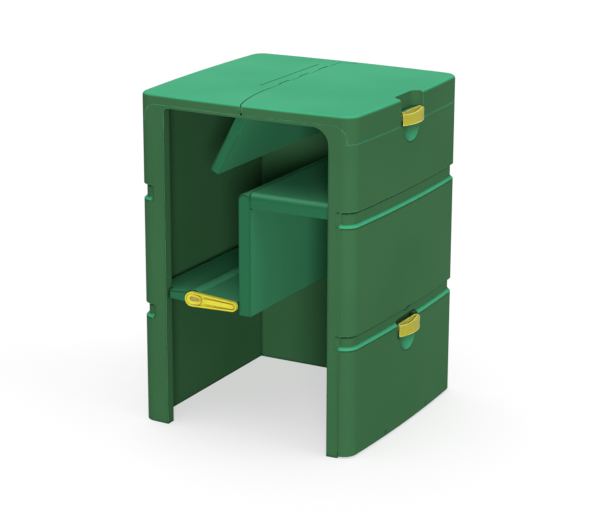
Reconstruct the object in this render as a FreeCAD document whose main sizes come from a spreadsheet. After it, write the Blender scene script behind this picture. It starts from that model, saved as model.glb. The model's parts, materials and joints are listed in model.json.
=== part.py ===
import FreeCAD, Part
import math
import os
from types import SimpleNamespace

import Sketcher

# Thermal compost bin with three chambers, in millimetres.
# X runs along the open front towards the side with the latches, Y runs to the back, Z up.
# The casing is drawn about its own centre line, and every piece is then moved by the same small
# step in X, so that the origin is the centre of the whole footprint with the latches counted.

DRIVING_SIZES = {
    # casing
    "casing_width": 790,
    "casing_depth": 790,
    "casing_height": 1100,
    "wall_bow": 11,
    "corner_radius": 48,
    "wall": 42,
    "side_wrap": 57,
    "tongue_width": 8,
    "tongue_depth": 9,
    # tiers of the side walls
    "lower_shoulder_top": 358,
    "middle_tier_base": 404,
    "upper_shoulder_top": 751,
    "upper_tier_base": 802,
    "shoulder": 10,
    "seat_inset": 18,
    "shadow_gap": 3,
    "parting_bevel": 2.5,
    # open front
    "left_post": 54,
    "right_post": 38,
    "top_bar": 42,
    "opening_left_radius": 16,
    "opening_right_radius": 56,
    # roof and lid
    "roof_thickness": 33,
    "roof_skirt": 86,
    "roof_edge_radius": 12,
    "skirt_inset": 37,
    "skirt_turn_radius": 42,
    "skin": 8,
    "lid_gap": 1,
    "seam_offset": 45,
    "seam_radius": 800,
    "seam_turn_front": 264,
    "seam_gap": 3.5,
    "hinge_seam_gap": 2,
    "hinge_offset": 50,
    "hinge_pin_radius": 1.75,
    "hinge_barrel_radius": 4,
    "hinge_relief": 5,
    "hinge_end_gap": 8,
    "knuckle_gap": 0.8,
    "rain_slot_offset": 94,
    "rain_slot_width": 3.5,
    "rain_slot_length": 402,
    "rain_slot_middle": 90,
    "rain_slot_depth": 10,
    "channel_left": 30,
    "channel_right": 34,
    # swing flap under the roof
    "swing_pin_offset": 6,
    "swing_pin_drop": 18,
    "swing_pin_radius": 5,
    "pin_setback": 0.5,
    "swing_boss_radius": 10,
    "swing_boss_setback": 1,
    "swing_tube_radius": 9,
    "swing_flap_length": 247,
    "swing_flap_thickness": 32,
    "swing_neck_length": 28,
    "swing_flap_edge_radius": 4,
    "swing_flap_tilt": 28,
    # partition and shelf
    "partition_thickness": 43,
    "partition_bottom": 413,
    "partition_top": 814,
    "inner_front_setback": 20,
    "housing_depth": 6,
    "end_gap": 3,
    "shelf_bottom": 771,
    "shelf_thickness": 47,
    "shelf_nose_radius": 18,
    "shelf_tongue_thickness": 20,
    "shelf_tongue_length": 8,
    "shelf_tongue_setback": 10,
    "rail_width": 22,
    "rail_height": 25,
    # turning floor flap
    "floor_flap_height": 446,
    "floor_flap_gap": 5,
    "flap_corner_gap": 4,
    "floor_flap_hub": 22,
    "floor_flap_hub_rise": 17.6,
    "floor_flap_hub_curve": 28.6,
    "floor_flap_tip": 11,
    "shaft_radius": 10,
    "shaft_end_gap": 1,
    "bush_radius": 14,
    "bush_flange_radius": 20,
    "bush_flange": 4,
    "bush_depth": 20,
    "stop_width": 15,
    "stop_height": 13,
    # lever on the flap's shaft
    "lever_hub_radius": 26.5,
    "lever_tip_radius": 18.5,
    "lever_length": 151,
    "lever_thickness": 15,
    "lever_inset": 2,
    "lever_floor": 2,
    "lever_rim": 5.5,
    "lever_channel_depth": 7,
    "lever_grip_start": 58,
    "lever_grip_end": 148,
    "lever_grip_radius": 9,
    "lever_grip_height": 6,
    # latches
    "latch_width": 150,
    "latch_proud": 26,
    "latch_end_proud": 6,
    "latch_end_slant": 13,
    "latch_pin_inset": 5.5,
    "latch_pin_radius": 2.5,
    "latch_pin_grip": 7,
    "latch_barrel_radius": 5.5,
    "latch_top": 14,
    "latch_ridge_proud": 13,
    "latch_bottom": 25,
    "latch_corner_radius": 15,
    "latch_rim": 4.5,
    "latch_tray_floor": 3,
    "latch_lug_bottom": 8.5,
    "latch_slot": 7,
    "latch_recess_gap": 2,
    "door_recess_radius": 33,
    "door_recess_end_radius": 28,
    "lid_recess_radius": 18,
    "lid_recess_end_radius": 17,
    "lid_latch_rise": 26,
    "door_latch_drop": 12,
    "lid_notch_depth": 33,
    "lid_notch_width": 160,
    "lid_notch_radius": 30,
    "lid_notch_cut": 53,
    "scoop_radius": 62,
    "scoop_depth": 28,
    "scoop_drop": 25,
    "keeper_slot_width": 30,
    "keeper_slot_depth": 14,
    "keeper_slot_drop": 9,
    "keeper_slot_rise": 3,
    # removal door
    "door_ground_gap": 5,
    "door_gap": 1,
    "door_bottom_chamfer": 3,
    "door_hinge_inset": 14,
    "door_hinge_height": 24,
    "door_return_relief": 5,
    "door_pin_radius": 3,
    "door_pin_length": 50,
    "ear_radius": 6,
    "ear_thickness": 16,
    "ear_spacing": 300,
    "ear_gap": 1.5,
    "sill_width": 28,
    "sill_height": 28,
    "sill_inset": 7,
    # fits
    "running_gap": 0.05,
    "easy_gap": 0.3,
    # how far a cut runs past the face that it starts from
    "overcut": 1,
    "far_overcut": 20,
}

# The lid's knuckles stand in notches of the fixed roof, between the roof's own.
LID_KNUCKLES = 3
# An arc drawn as a half circle is a hair wider than one, so that its middle is never in doubt.
HALF_CIRCLE = 1.0001
# A cut that takes less than this volume has missed its piece.
LEAST_CUT = 0.5
# How near a point counts as lying on a level, and on a wall.
LEVEL_TOLERANCE = 0.01
WALL_TOLERANCE = 0.5

document = FreeCAD.newDocument("compost_bin")
sheet = document.addObject("Spreadsheet::Sheet", "Sizes")
sheet_rows = 0


def write_cell(name, text):
    """Put one named value on the next row of the sheet."""
    global sheet_rows
    sheet_rows += 1
    sheet.set(f"A{sheet_rows}", name)
    sheet.set(f"B{sheet_rows}", text)
    sheet.setAlias(f"B{sheet_rows}", name)


class Size:
    """A number together with the sheet formula that gives it."""

    def __init__(self, value, formula=None):
        self.value = float(value)
        self.formula = formula if formula else repr(float(value))

    def join(self, other, sign, value):
        return Size(value, f"({self.formula} {sign} {other.formula})")

    def __add__(self, other):
        other = as_size(other)
        return self.join(other, "+", self.value + other.value)

    def __sub__(self, other):
        other = as_size(other)
        return self.join(other, "-", self.value - other.value)

    def __mul__(self, other):
        other = as_size(other)
        return self.join(other, "*", self.value * other.value)

    def __truediv__(self, other):
        other = as_size(other)
        return self.join(other, "/", self.value / other.value)

    def __radd__(self, other):
        return as_size(other) + self

    def __rsub__(self, other):
        return as_size(other) - self

    def __rmul__(self, other):
        return as_size(other) * self

    def __neg__(self):
        return as_size(0) - self


def as_size(number):
    return number if isinstance(number, Size) else Size(number)


def root(size):
    return Size(math.sqrt(size.value), f"sqrt({size.formula})")


def derived(name, size):
    """Keep a worked-out size in the sheet under its own name."""
    write_cell(name, f"={size.formula}")
    return Size(size.value, f"Sizes.{name}")


for size_name, size_value in DRIVING_SIZES.items():
    write_cell(size_name, str(size_value))
s = SimpleNamespace(**{name: Size(value, f"Sizes.{name}") for name, value in DRIVING_SIZES.items()})

# Derived sizes of the casing
half_width = derived("half_width", s.casing_width / 2)
half_depth = derived("half_depth", s.casing_depth / 2)
front_half = derived("front_half", half_width - s.side_wrap)
cavity_x = derived("cavity_x", half_width - s.wall)
cavity_y = derived("cavity_y", half_depth - s.wall)
side_chord = derived("side_chord", half_depth - s.corner_radius)
front_chord = derived("front_chord", half_width - s.corner_radius)
side_bow_radius = derived(
    "side_bow_radius",
    side_chord * side_chord / s.wall_bow / 2 + s.wall_bow / 2,
)
front_bow_radius = derived(
    "front_bow_radius",
    front_chord * front_chord / s.wall_bow / 2 + s.wall_bow / 2,
)
side_centre = derived("side_centre", half_width - side_bow_radius)
front_centre = derived("front_centre", half_depth - front_bow_radius)
side_reach = derived("side_reach", side_bow_radius - s.corner_radius)
front_reach = derived("front_reach", front_bow_radius - s.corner_radius)

# The corner circle touches both bowed walls from inside: its centre is where two circles cross.
centre_gap = derived("centre_gap", root(side_centre * side_centre + front_centre * front_centre))
along_gap = derived(
    "along_gap",
    (side_reach * side_reach - front_reach * front_reach + centre_gap * centre_gap) / centre_gap / 2,
)
across_gap = derived("across_gap", root(side_reach * side_reach - along_gap * along_gap))
corner_x = derived(
    "corner_x",
    side_centre - along_gap * side_centre / centre_gap - across_gap * front_centre / centre_gap,
)
corner_y = derived(
    "corner_y",
    along_gap * front_centre / centre_gap - across_gap * side_centre / centre_gap,
)
front_edge_y = derived(
    "front_edge_y",
    front_centre + root(front_bow_radius * front_bow_radius - front_half * front_half),
)

# Derived heights and places
opening_left = derived("opening_left", front_half - s.left_post)
opening_right = derived("opening_right", front_half - s.right_post)
opening_top = derived("opening_top", s.casing_height - s.top_bar)
roof_underside = derived("roof_underside", s.casing_height - s.roof_thickness)
parting_height = derived("parting_height", s.casing_height - s.roof_skirt)
parting_low = derived("parting_low", parting_height - s.far_overcut)
lid_latch_height = derived("lid_latch_height", parting_height + s.lid_latch_rise)
door_latch_height = derived("door_latch_height", s.lower_shoulder_top - s.door_latch_drop)
lid_notch_floor = derived("lid_notch_floor", s.casing_height - s.lid_notch_cut)
skirt_inner = derived("skirt_inner", half_width - s.skirt_inset)
channel_top = derived("channel_top", s.casing_height - s.skin)
hinge_height = derived("hinge_height", s.casing_height - s.hinge_barrel_radius)
seam_turn_y = derived("seam_turn_y", s.seam_turn_front - half_depth)
seam_step_y = derived("seam_step_y", cavity_y - s.overcut)
hinge_run = derived("hinge_run", seam_step_y - seam_turn_y - s.hinge_end_gap * 2)
hinge_start = derived("hinge_start", seam_turn_y + s.hinge_end_gap)
knuckle_pitch = derived("knuckle_pitch", hinge_run / (LID_KNUCKLES * 2 + 1))
swing_pin_height = derived("swing_pin_height", s.casing_height - s.swing_pin_drop)
inner_front_y = derived("inner_front_y", half_depth - s.inner_front_setback)
latch_x = derived("latch_x", half_width - s.latch_pin_inset)
flap_x = derived("flap_x", (cavity_x + s.partition_thickness / 2) / 2)
flap_half = derived("flap_half", (cavity_x - s.partition_thickness / 2) / 2 - s.floor_flap_gap)
lever_front = derived("lever_front", s.lever_inset - half_depth)
door_hinge_x = derived("door_hinge_x", half_width - s.door_hinge_inset)
origin_step = derived("origin_step", s.latch_proud / 2)
reach = derived("reach", s.casing_width + s.casing_depth)

document.recompute()


def line_to(x, y):
    return (x, y, None, 1)


def arc_to(x, y, radius, turn=1):
    """An arc that ends at x, y. A turn of 1 goes anticlockwise round its centre, -1 clockwise."""
    return (x, y, radius, turn)


def arc_middle(start, end, radius, turn):
    """A point half way along the shorter arc between two points."""
    chord = end - start
    half = chord.Length / 2
    drop = math.sqrt(max(radius * radius - half * half, 0))
    left = FreeCAD.Vector(-chord.y, chord.x, 0).normalize()
    centre = (start + end) * 0.5 + left * (drop * turn)
    return centre - left * (radius * turn)


def rectangle(left, right, low, high):
    return [line_to(left, low), line_to(right, low), line_to(right, high), line_to(left, high)]


def tie(sketch, kind, *where, size):
    """Add one dimension to a sketch and bind it to its formula."""
    number = sketch.addConstraint(Sketcher.Constraint(kind, *where, size.value))
    sketch.setExpression(f"Constraints[{number}]", size.formula)


def draw(sketch, corners):
    """Draw one closed outline through its corners, with every corner and radius dimensioned."""
    corners = [
        (as_size(x), as_size(y), radius and as_size(radius), turn) for x, y, radius, turn in corners
    ]
    points = [FreeCAD.Vector(x.value, y.value, 0) for x, y, _, _ in corners]
    first = sketch.GeometryCount
    for index, (_, _, radius, turn) in enumerate(corners):
        start, end = points[index - 1], points[index]
        if radius is None:
            sketch.addGeometry(Part.LineSegment(start, end))
        else:
            middle = arc_middle(start, end, radius.value, turn)
            sketch.addGeometry(Part.Arc(start, middle, end))
    ends = [1 if radius and turn < 0 else 2 for _, _, radius, turn in corners]
    starts = [3 - end for end in ends]
    count = len(corners)
    for index in range(count):
        after = (index + 1) % count
        sketch.addConstraint(
            Sketcher.Constraint("Coincident", first + index, ends[index], first + after, starts[after])
        )
    for index, (x, y, radius, _) in enumerate(corners):
        tie(sketch, "DistanceX", -1, 1, first + index, ends[index], size=x)
        tie(sketch, "DistanceY", -1, 1, first + index, ends[index], size=y)
        if radius is not None:
            tie(sketch, "Radius", first + index, size=radius)


def draw_circle(sketch, x, y, radius):
    x, y, radius = as_size(x), as_size(y), as_size(radius)
    centre = FreeCAD.Vector(x.value, y.value, 0)
    number = sketch.addGeometry(Part.Circle(centre, FreeCAD.Vector(0, 0, 1), radius.value))
    tie(sketch, "DistanceX", -1, 1, number, 3, size=x)
    tie(sketch, "DistanceY", -1, 1, number, 3, size=y)
    tie(sketch, "Radius", number, size=radius)


def round_slot(x, y, half_length, radius):
    """A slot with round ends that runs along the sketch's first axis."""
    return [
        line_to(x + half_length, y - radius),
        arc_to(x + half_length, y + radius, radius * HALF_CIRCLE),
        line_to(x - half_length, y + radius),
        arc_to(x - half_length, y - radius, radius * HALF_CIRCLE),
    ]


class Piece:
    """One sub-part, built feature by feature in its own body."""

    # The way a plane faces: 1 where its normal runs along the axis that it cuts, -1 against it.
    FACING = {"XY": 1, "XZ": -1, "YZ": 1}

    def __init__(self, label):
        self.body = document.addObject("PartDesign::Body", label)
        self.body.Label = label
        self.body.setExpression("Placement.Base.x", f"-{origin_step.formula}")

    def sketch(self, plane, place, outlines=(), circles=()):
        sketch = self.body.newObject("Sketcher::SketchObject", f"{self.body.Label}_outline")
        origin = [item for item in self.body.Origin.OriginFeatures if item.Role == f"{plane}_Plane"]
        sketch.AttachmentSupport = (origin[0], [""])
        sketch.MapMode = "FlatFace"
        facing = place * self.FACING[plane]
        sketch.AttachmentOffset.Base.z = facing.value
        sketch.setExpression("AttachmentOffset.Base.z", facing.formula)
        for outline in outlines:
            draw(sketch, outline)
        for x, y, radius in circles:
            draw_circle(sketch, x, y, radius)
        return sketch

    def finish(self, feature, cut_from=None):
        """Rebuild, and stop if the feature failed or was to cut a volume and left it whole."""
        document.recompute()
        if not feature.isValid() or feature.Shape.isNull():
            raise RuntimeError(f"{self.body.Label}: {feature.Name} failed")
        if cut_from is not None and feature.Shape.Volume > cut_from - LEAST_CUT:
            raise RuntimeError(f"{self.body.Label}: {feature.Name} cut nothing")
        return feature

    def pad(self, plane, low, high, outlines=(), circles=()):
        """Add material between two places along the axis that the plane cuts."""
        low, high = as_size(low), as_size(high)
        start = low if self.FACING[plane] > 0 else high
        profile = self.sketch(plane, start, outlines, circles)
        pad = self.body.newObject("PartDesign::Pad", f"{self.body.Label}_pad")
        pad.Profile = profile
        pad.Length = (high - low).value
        pad.setExpression("Length", (high - low).formula)
        return self.finish(pad)

    def pocket(self, plane, low, high, outlines=(), circles=()):
        """Cut material between two places along the axis that the plane cuts."""
        low, high = as_size(low), as_size(high)
        start = high if self.FACING[plane] > 0 else low
        before = self.body.Tip.Shape.Volume
        profile = self.sketch(plane, start, outlines, circles)
        pocket = self.body.newObject("PartDesign::Pocket", f"{self.body.Label}_pocket")
        pocket.Profile = profile
        pocket.Length = (high - low).value
        pocket.setExpression("Length", (high - low).formula)
        return self.finish(pocket, cut_from=before)

    def groove(self, plane, place, outline, axis_x):
        """Cut an outline turned about a line that runs along the sketch's second axis at axis_x."""
        before = self.body.Tip.Shape.Volume
        profile = self.sketch(plane, place, [outline])
        axis = profile.addGeometry(
            Part.LineSegment(
                FreeCAD.Vector(axis_x.value, -1, 0),
                FreeCAD.Vector(axis_x.value, 1, 0),
            ),
            True,
        )
        profile.addConstraint(Sketcher.Constraint("Vertical", axis))
        tie(profile, "DistanceX", -1, 1, axis, 1, size=axis_x)
        groove = self.body.newObject("PartDesign::Groove", f"{self.body.Label}_groove")
        groove.Profile = profile
        groove.ReferenceAxis = (profile, ["Axis0"])
        groove.Angle = 360
        return self.finish(groove, cut_from=before)

    def loft(self, plane, low, high, low_outline, high_outline):
        """Add material between two outlines that lie at two places along the axis."""
        lower = self.sketch(plane, as_size(low), [low_outline])
        upper = self.sketch(plane, as_size(high), [high_outline])
        loft = self.body.newObject("PartDesign::AdditiveLoft", f"{self.body.Label}_loft")
        loft.Profile = lower
        loft.Sections = [upper]
        loft.Ruled = True
        return self.finish(loft)

    def edge_names(self, wanted):
        """Names of the tip's edges whose every point passes the test."""
        names = []
        for number, edge in enumerate(self.body.Tip.Shape.Edges, start=1):
            ends = [vertex.Point for vertex in edge.Vertexes]
            middle = edge.valueAt((edge.FirstParameter + edge.LastParameter) / 2)
            if all(wanted(point) for point in ends + [middle]):
                names.append(f"Edge{number}")
        return names

    def round_edges(self, radius, wanted):
        base = self.body.Tip
        names = self.edge_names(wanted)
        fillet = self.body.newObject("PartDesign::Fillet", f"{self.body.Label}_fillet")
        fillet.Base = (base, names)
        fillet.Radius = radius.value
        fillet.setExpression("Radius", radius.formula)
        return self.finish(fillet)

    def bevel_edges(self, width, wanted):
        base = self.body.Tip
        names = self.edge_names(wanted)
        chamfer = self.body.newObject("PartDesign::Chamfer", f"{self.body.Label}_chamfer")
        chamfer.Base = (base, names)
        chamfer.Size = width.value
        chamfer.setExpression("Size", width.formula)
        return self.finish(chamfer)

    def repeat(self, feature, step, count):
        """Repeat a feature along Y."""
        axis = [item for item in self.body.Origin.OriginFeatures if item.Role == "Y_Axis"][0]
        pattern = self.body.newObject("PartDesign::LinearPattern", f"{self.body.Label}_pattern")
        pattern.Originals = [feature]
        pattern.Direction = (axis, [""])
        span = step * (count - 1)
        pattern.Length = span.value
        pattern.setExpression("Length", span.formula)
        pattern.Occurrences = count
        self.body.Tip = pattern
        return self.finish(pattern)


def at_height(height):
    return lambda point: abs(point.z - height.value) < LEVEL_TOLERANCE


def is_outer(point):
    """True on the casing's outer plan, away from the cut ends and the inside."""
    x, y = abs(point.x), abs(point.y)
    inner_x = skirt_inner.value + WALL_TOLERANCE
    inside_x = x < inner_x and y < front_edge_y.value - WALL_TOLERANCE
    inside_y = x < inner_x and y < cavity_y.value + WALL_TOLERANCE
    return not inside_x and not inside_y


def on_outer_edge(height):
    """A test for the outer edge of a wall at one level."""
    return lambda point: at_height(height)(point) and is_outer(point)


def bowed_plan(inset):
    """The casing's plan: four walls that bow outwards and four round corners, set in by inset."""
    inset = as_size(inset)
    side_scale = (side_bow_radius - inset) / side_reach
    front_scale = (front_bow_radius - inset) / front_reach
    side_x = side_centre + (corner_x - side_centre) * side_scale
    side_y = corner_y * side_scale
    front_x = corner_x * front_scale
    front_y = front_centre + (corner_y - front_centre) * front_scale
    return [
        arc_to(front_x, -front_y, front_bow_radius - inset),
        arc_to(side_x, -side_y, s.corner_radius - inset),
        arc_to(side_x, side_y, side_bow_radius - inset),
        arc_to(front_x, front_y, s.corner_radius - inset),
        arc_to(-front_x, front_y, front_bow_radius - inset),
        arc_to(-side_x, side_y, s.corner_radius - inset),
        arc_to(-side_x, -side_y, side_bow_radius - inset),
        arc_to(-front_x, -front_y, s.corner_radius - inset),
    ]


def cavity_plan():
    return rectangle(-cavity_x, cavity_x, -cavity_y, cavity_y)


def above_parting(side):
    """What a roof half covers, in the front view: over the front edge and down over the side."""
    turn_x = skirt_inner - s.skirt_turn_radius
    turn_z = roof_underside - s.skirt_turn_radius
    outer = half_width + s.far_overcut
    top = s.casing_height + s.far_overcut
    return [
        line_to(turn_x * side, top),
        line_to(turn_x * side, roof_underside),
        arc_to(skirt_inner * side, turn_z, s.skirt_turn_radius, turn=-side),
        line_to(skirt_inner * side, parting_height),
        line_to(outer * side, parting_height),
        line_to(outer * side, top),
    ]


def below_parting(gap):
    """What the walls fill under the roof, in the front view, with a gap all round."""
    inner = skirt_inner + gap
    turn_x = skirt_inner - s.skirt_turn_radius
    turn_z = roof_underside - s.skirt_turn_radius
    underside = roof_underside + gap
    low = parting_height - s.far_overcut
    return [
        line_to(-inner, low),
        line_to(inner, low),
        line_to(inner, turn_z),
        arc_to(turn_x, underside, s.skirt_turn_radius + gap),
        line_to(-turn_x, underside),
        arc_to(-inner, turn_z, s.skirt_turn_radius + gap),
    ]


def end_wall(label):
    """The flat front or back wall between the side panels, as a plain slab."""
    side = -1 if label == "front_frame" else 1
    wall = Piece(label)
    inner = cavity_y * side
    outer = front_edge_y * side
    wall.pad(
        "XY",
        0,
        roof_underside,
        [
            [
                line_to(-front_half, inner),
                line_to(-front_half, outer),
                arc_to(front_half, outer, front_bow_radius, turn=-side),
                line_to(front_half, inner),
            ]
        ],
    )
    wall.pocket("XZ", -reach, reach, [above_parting(1), above_parting(-1)])
    groove_low = front_half - s.tongue_depth - s.easy_gap
    middle = (cavity_y + front_edge_y) / 2 * side
    half = s.tongue_width / 2 + s.easy_gap
    wall.pocket(
        "XY",
        -1,
        s.casing_height,
        [
            rectangle(groove_low, front_half + s.overcut, middle - half, middle + half),
            rectangle(-front_half - s.overcut, -groove_low, middle - half, middle + half),
        ],
    )
    # The side bands run out on the wall's corners in a slope instead of a step.
    band_y = (front_edge_y - s.shoulder) * side
    past = (front_edge_y + s.overcut) * side
    slope = s.shoulder + s.overcut
    for low, high in (
        (s.lower_shoulder_top, s.middle_tier_base),
        (s.upper_shoulder_top, s.upper_tier_base),
    ):
        wall.pocket(
            "XY",
            low + s.shoulder / 2,
            high,
            [
                [
                    line_to(front_half + s.overcut, past),
                    line_to(front_half + s.overcut, band_y),
                    line_to(front_half, band_y),
                    line_to(front_half - slope, past),
                ],
                [
                    line_to(-front_half - s.overcut, past),
                    line_to(-front_half - s.overcut, band_y),
                    line_to(-front_half, band_y),
                    line_to(-front_half + slope, past),
                ],
            ],
        )
    return wall


def build_front_frame():
    frame = end_wall("front_frame")
    left_turn = opening_top - s.opening_left_radius
    right_turn = opening_top - s.opening_right_radius
    frame.pocket(
        "XZ",
        -reach,
        0,
        [
            [
                line_to(-opening_left, -20),
                line_to(opening_right, -20),
                line_to(opening_right, right_turn),
                arc_to(opening_right - s.opening_right_radius, opening_top, s.opening_right_radius),
                line_to(-opening_left + s.opening_left_radius, opening_top),
                arc_to(-opening_left, left_turn, s.opening_left_radius),
            ]
        ],
    )
    return frame


def build_back_panel():
    panel = end_wall("back_panel")
    half = s.partition_thickness / 2 + s.easy_gap
    panel.pocket(
        "XZ",
        cavity_y - s.overcut,
        cavity_y + s.housing_depth + s.easy_gap,
        [
            rectangle(
                -half,
                half,
                s.partition_bottom - s.easy_gap,
                s.partition_top + s.easy_gap,
            )
        ],
    )
    panel.pocket(
        "XZ",
        cavity_y - s.overcut,
        cavity_y + s.bush_depth,
        circles=[(-flap_x, s.floor_flap_height, s.bush_radius + s.running_gap)],
    )
    return panel


def side_blank(label, side, base, shoulder_top, next_base, seated=True, edge_gap=0):
    """A side wall's tier: round corners, a bevelled shoulder and the collar that stands on it."""
    tier = Piece(label)
    collar_base = shoulder_top + s.shoulder
    tier.pad("XY", base, collar_base, [bowed_plan(0)])
    tier.bevel_edges(s.shoulder, at_height(collar_base))
    tier.pad("XY", collar_base, next_base - s.shadow_gap, [bowed_plan(s.shoulder)])
    if seated:
        tier.pad("XY", next_base - s.shadow_gap, next_base, [bowed_plan(s.seat_inset)])
    tier.pocket("XY", base - s.overcut, next_base + s.overcut, [cavity_plan()])
    edge = (front_half + edge_gap) * side
    far = -reach * side
    tier.pocket("XY", base - s.overcut, next_base + s.overcut, [rectangle(edge, far, -reach, reach)])
    return tier


def add_tongues(tier, side, base, top):
    """Upright tongues that slide into the grooves of the front and back walls."""
    middle = (cavity_y + front_edge_y) / 2
    half = s.tongue_width / 2
    root_x = (front_half + s.overcut) * side
    tip_x = (front_half - s.tongue_depth) * side
    tier.pad(
        "XY",
        base,
        top,
        [
            rectangle(tip_x, root_x, -middle - half, -middle + half),
            rectangle(tip_x, root_x, middle - half, middle + half),
        ],
    )


def build_side_tiers():
    """The fixed tiers of both side walls, apart from the door."""
    tiers = {}
    plans = (
        ("left_lower_panel", -1, as_size(0), s.lower_shoulder_top, s.middle_tier_base),
        ("left_middle_panel", -1, s.middle_tier_base, s.upper_shoulder_top, s.upper_tier_base),
        ("right_middle_panel", 1, s.middle_tier_base, s.upper_shoulder_top, s.upper_tier_base),
    )
    for label, side, base, shoulder_top, next_base in plans:
        tier = side_blank(label, side, base, shoulder_top, next_base)
        add_tongues(tier, side, base, shoulder_top)
        tiers[label] = tier
    for label, side in (("left_upper_panel", -1), ("right_upper_panel", 1)):
        tier = Piece(label)
        tier.pad("XY", s.upper_tier_base, roof_underside, [bowed_plan(0)])
        tier.pocket("XY", s.upper_tier_base - s.overcut, s.casing_height, [cavity_plan()])
        tier.pocket(
            "XY",
            s.upper_tier_base - s.overcut,
            s.casing_height,
            [rectangle(front_half * side, -reach * side, -reach, reach)],
        )
        tier.pocket("XZ", -reach, reach, [above_parting(side)])
        tier.bevel_edges(s.parting_bevel, on_outer_edge(parting_height))
        add_tongues(tier, side, s.upper_tier_base, parting_height)
        tiers[label] = tier
    return tiers


def cut_scoop(piece, height):
    """A finger scoop under a latch: the cap of a ball, deepest behind the latch's lower lip."""
    radius, depth = s.scoop_radius, s.scoop_depth
    ball = (radius * radius + depth * depth) / depth / 2
    axis_x = half_width - depth + ball
    middle = height - s.scoop_drop
    piece.groove(
        "XZ",
        as_size(0),
        [
            line_to(axis_x, middle + ball),
            arc_to(axis_x - ball, middle, ball),
            arc_to(axis_x, middle - ball, ball),
        ],
        axis_x,
    )


def cut_keeper_slot(piece, low, high):
    """A small slot over the door latch, half in the door's collar and half in the tier above."""
    half = s.keeper_slot_width / 2
    piece.pocket(
        "YZ",
        half_width - s.keeper_slot_depth,
        half_width + s.overcut,
        [rectangle(-half, half, low, high)],
    )


def roof_blank(label, gap):
    """Half of the roof before the seam is cut: a flat top with a skirt down the side."""
    roof = Piece(label)
    roof.pad("XY", parting_height + gap, s.casing_height, [bowed_plan(0)])
    roof.round_edges(s.roof_edge_radius, at_height(s.casing_height))
    roof.pocket("XZ", -reach, reach, [below_parting(gap)])
    return roof


def seam_outline(side):
    """What is cut from one half of the roof along the seam: side 1 is the lid's side of it."""
    curve_gap = s.seam_gap / 2
    hinge_gap = s.hinge_seam_gap / 2
    radius = s.seam_radius + curve_gap * side
    centre_x = s.seam_radius - s.seam_offset
    front_y = -half_depth - s.far_overcut
    drop = seam_turn_y - front_y
    front_x = centre_x - root(radius * radius - drop * drop)
    hinge_x = -s.seam_offset - hinge_gap * side
    step_x = s.swing_boss_radius - s.swing_pin_offset + s.lid_gap - curve_gap * side
    step_y = seam_step_y + hinge_gap * side
    far_y = half_depth + s.far_overcut
    far_x = half_width * 2 * side
    return [
        line_to(far_x, front_y),
        line_to(front_x, front_y),
        arc_to(centre_x - radius, seam_turn_y, radius, turn=-1),
        line_to(hinge_x, seam_turn_y),
        line_to(hinge_x, step_y),
        line_to(step_x, step_y),
        line_to(step_x, far_y),
        line_to(far_x, far_y),
    ]


def cut_hinge_notches(roof):
    """Notches in the fixed roof's edge, where the lid's knuckles turn."""
    low = hinge_start + knuckle_pitch
    notch = roof.pocket(
        "XY",
        roof_underside,
        s.casing_height + s.overcut,
        [
            rectangle(
                -s.hinge_offset - s.hinge_relief,
                -s.seam_offset,
                low - s.knuckle_gap / 2,
                low + knuckle_pitch + s.knuckle_gap / 2,
            )
        ],
    )
    roof.repeat(notch, knuckle_pitch * 2, LID_KNUCKLES)


def add_lid_knuckles(lid):
    """The lid's knuckles: a round barrel and the web that joins it to the lid's skin."""
    low = hinge_start + knuckle_pitch + s.knuckle_gap / 2
    high = hinge_start + knuckle_pitch * 2 - s.knuckle_gap / 2
    radius = s.hinge_barrel_radius
    skin_x = -s.seam_offset + s.hinge_seam_gap
    knuckle = lid.pad(
        "XZ",
        low,
        high,
        [
            [
                line_to(skin_x, hinge_height - radius),
                line_to(skin_x, hinge_height + radius),
                line_to(-s.hinge_offset, hinge_height + radius),
                arc_to(-s.hinge_offset, hinge_height - radius, radius * HALF_CIRCLE),
            ]
        ],
    )
    lid.repeat(knuckle, knuckle_pitch * 2, LID_KNUCKLES)


def bore_hinge(piece):
    piece.pocket(
        "XZ",
        hinge_start - s.overcut,
        hinge_start + hinge_run + s.overcut,
        circles=[(-s.hinge_offset, hinge_height, s.hinge_pin_radius + s.running_gap)],
    )


def build_fixed_roof():
    roof = roof_blank("fixed_roof", as_size(0))
    roof.pocket("XY", parting_low, s.casing_height + s.overcut, [seam_outline(1)])
    channel_left = -s.seam_offset - s.channel_left
    roof.pocket(
        "XZ",
        -cavity_y,
        cavity_y,
        [rectangle(channel_left, s.far_overcut, roof_underside - s.overcut, channel_top)],
    )
    boss_end = half_depth - s.swing_boss_setback
    for low, high in ((-boss_end, -cavity_y), (cavity_y, boss_end)):
        roof.pad("XZ", low, high, circles=[(-s.swing_pin_offset, swing_pin_height, s.swing_boss_radius)])
    roof.pocket(
        "XZ",
        -half_depth - s.overcut,
        half_depth + s.overcut,
        circles=[(-s.swing_pin_offset, swing_pin_height, s.swing_pin_radius + s.running_gap)],
    )
    cut_hinge_notches(roof)
    bore_hinge(roof)
    half = s.rain_slot_width / 2
    slot_half = s.rain_slot_length / 2 - half
    roof.pocket(
        "XY",
        s.casing_height - s.rain_slot_depth,
        s.casing_height + s.overcut,
        [
            [
                line_to(-s.rain_slot_offset - half, s.rain_slot_middle - slot_half),
                arc_to(-s.rain_slot_offset + half, s.rain_slot_middle - slot_half, half * HALF_CIRCLE),
                line_to(-s.rain_slot_offset + half, s.rain_slot_middle + slot_half),
                arc_to(-s.rain_slot_offset - half, s.rain_slot_middle + slot_half, half * HALF_CIRCLE),
            ]
        ],
    )
    return roof


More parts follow.
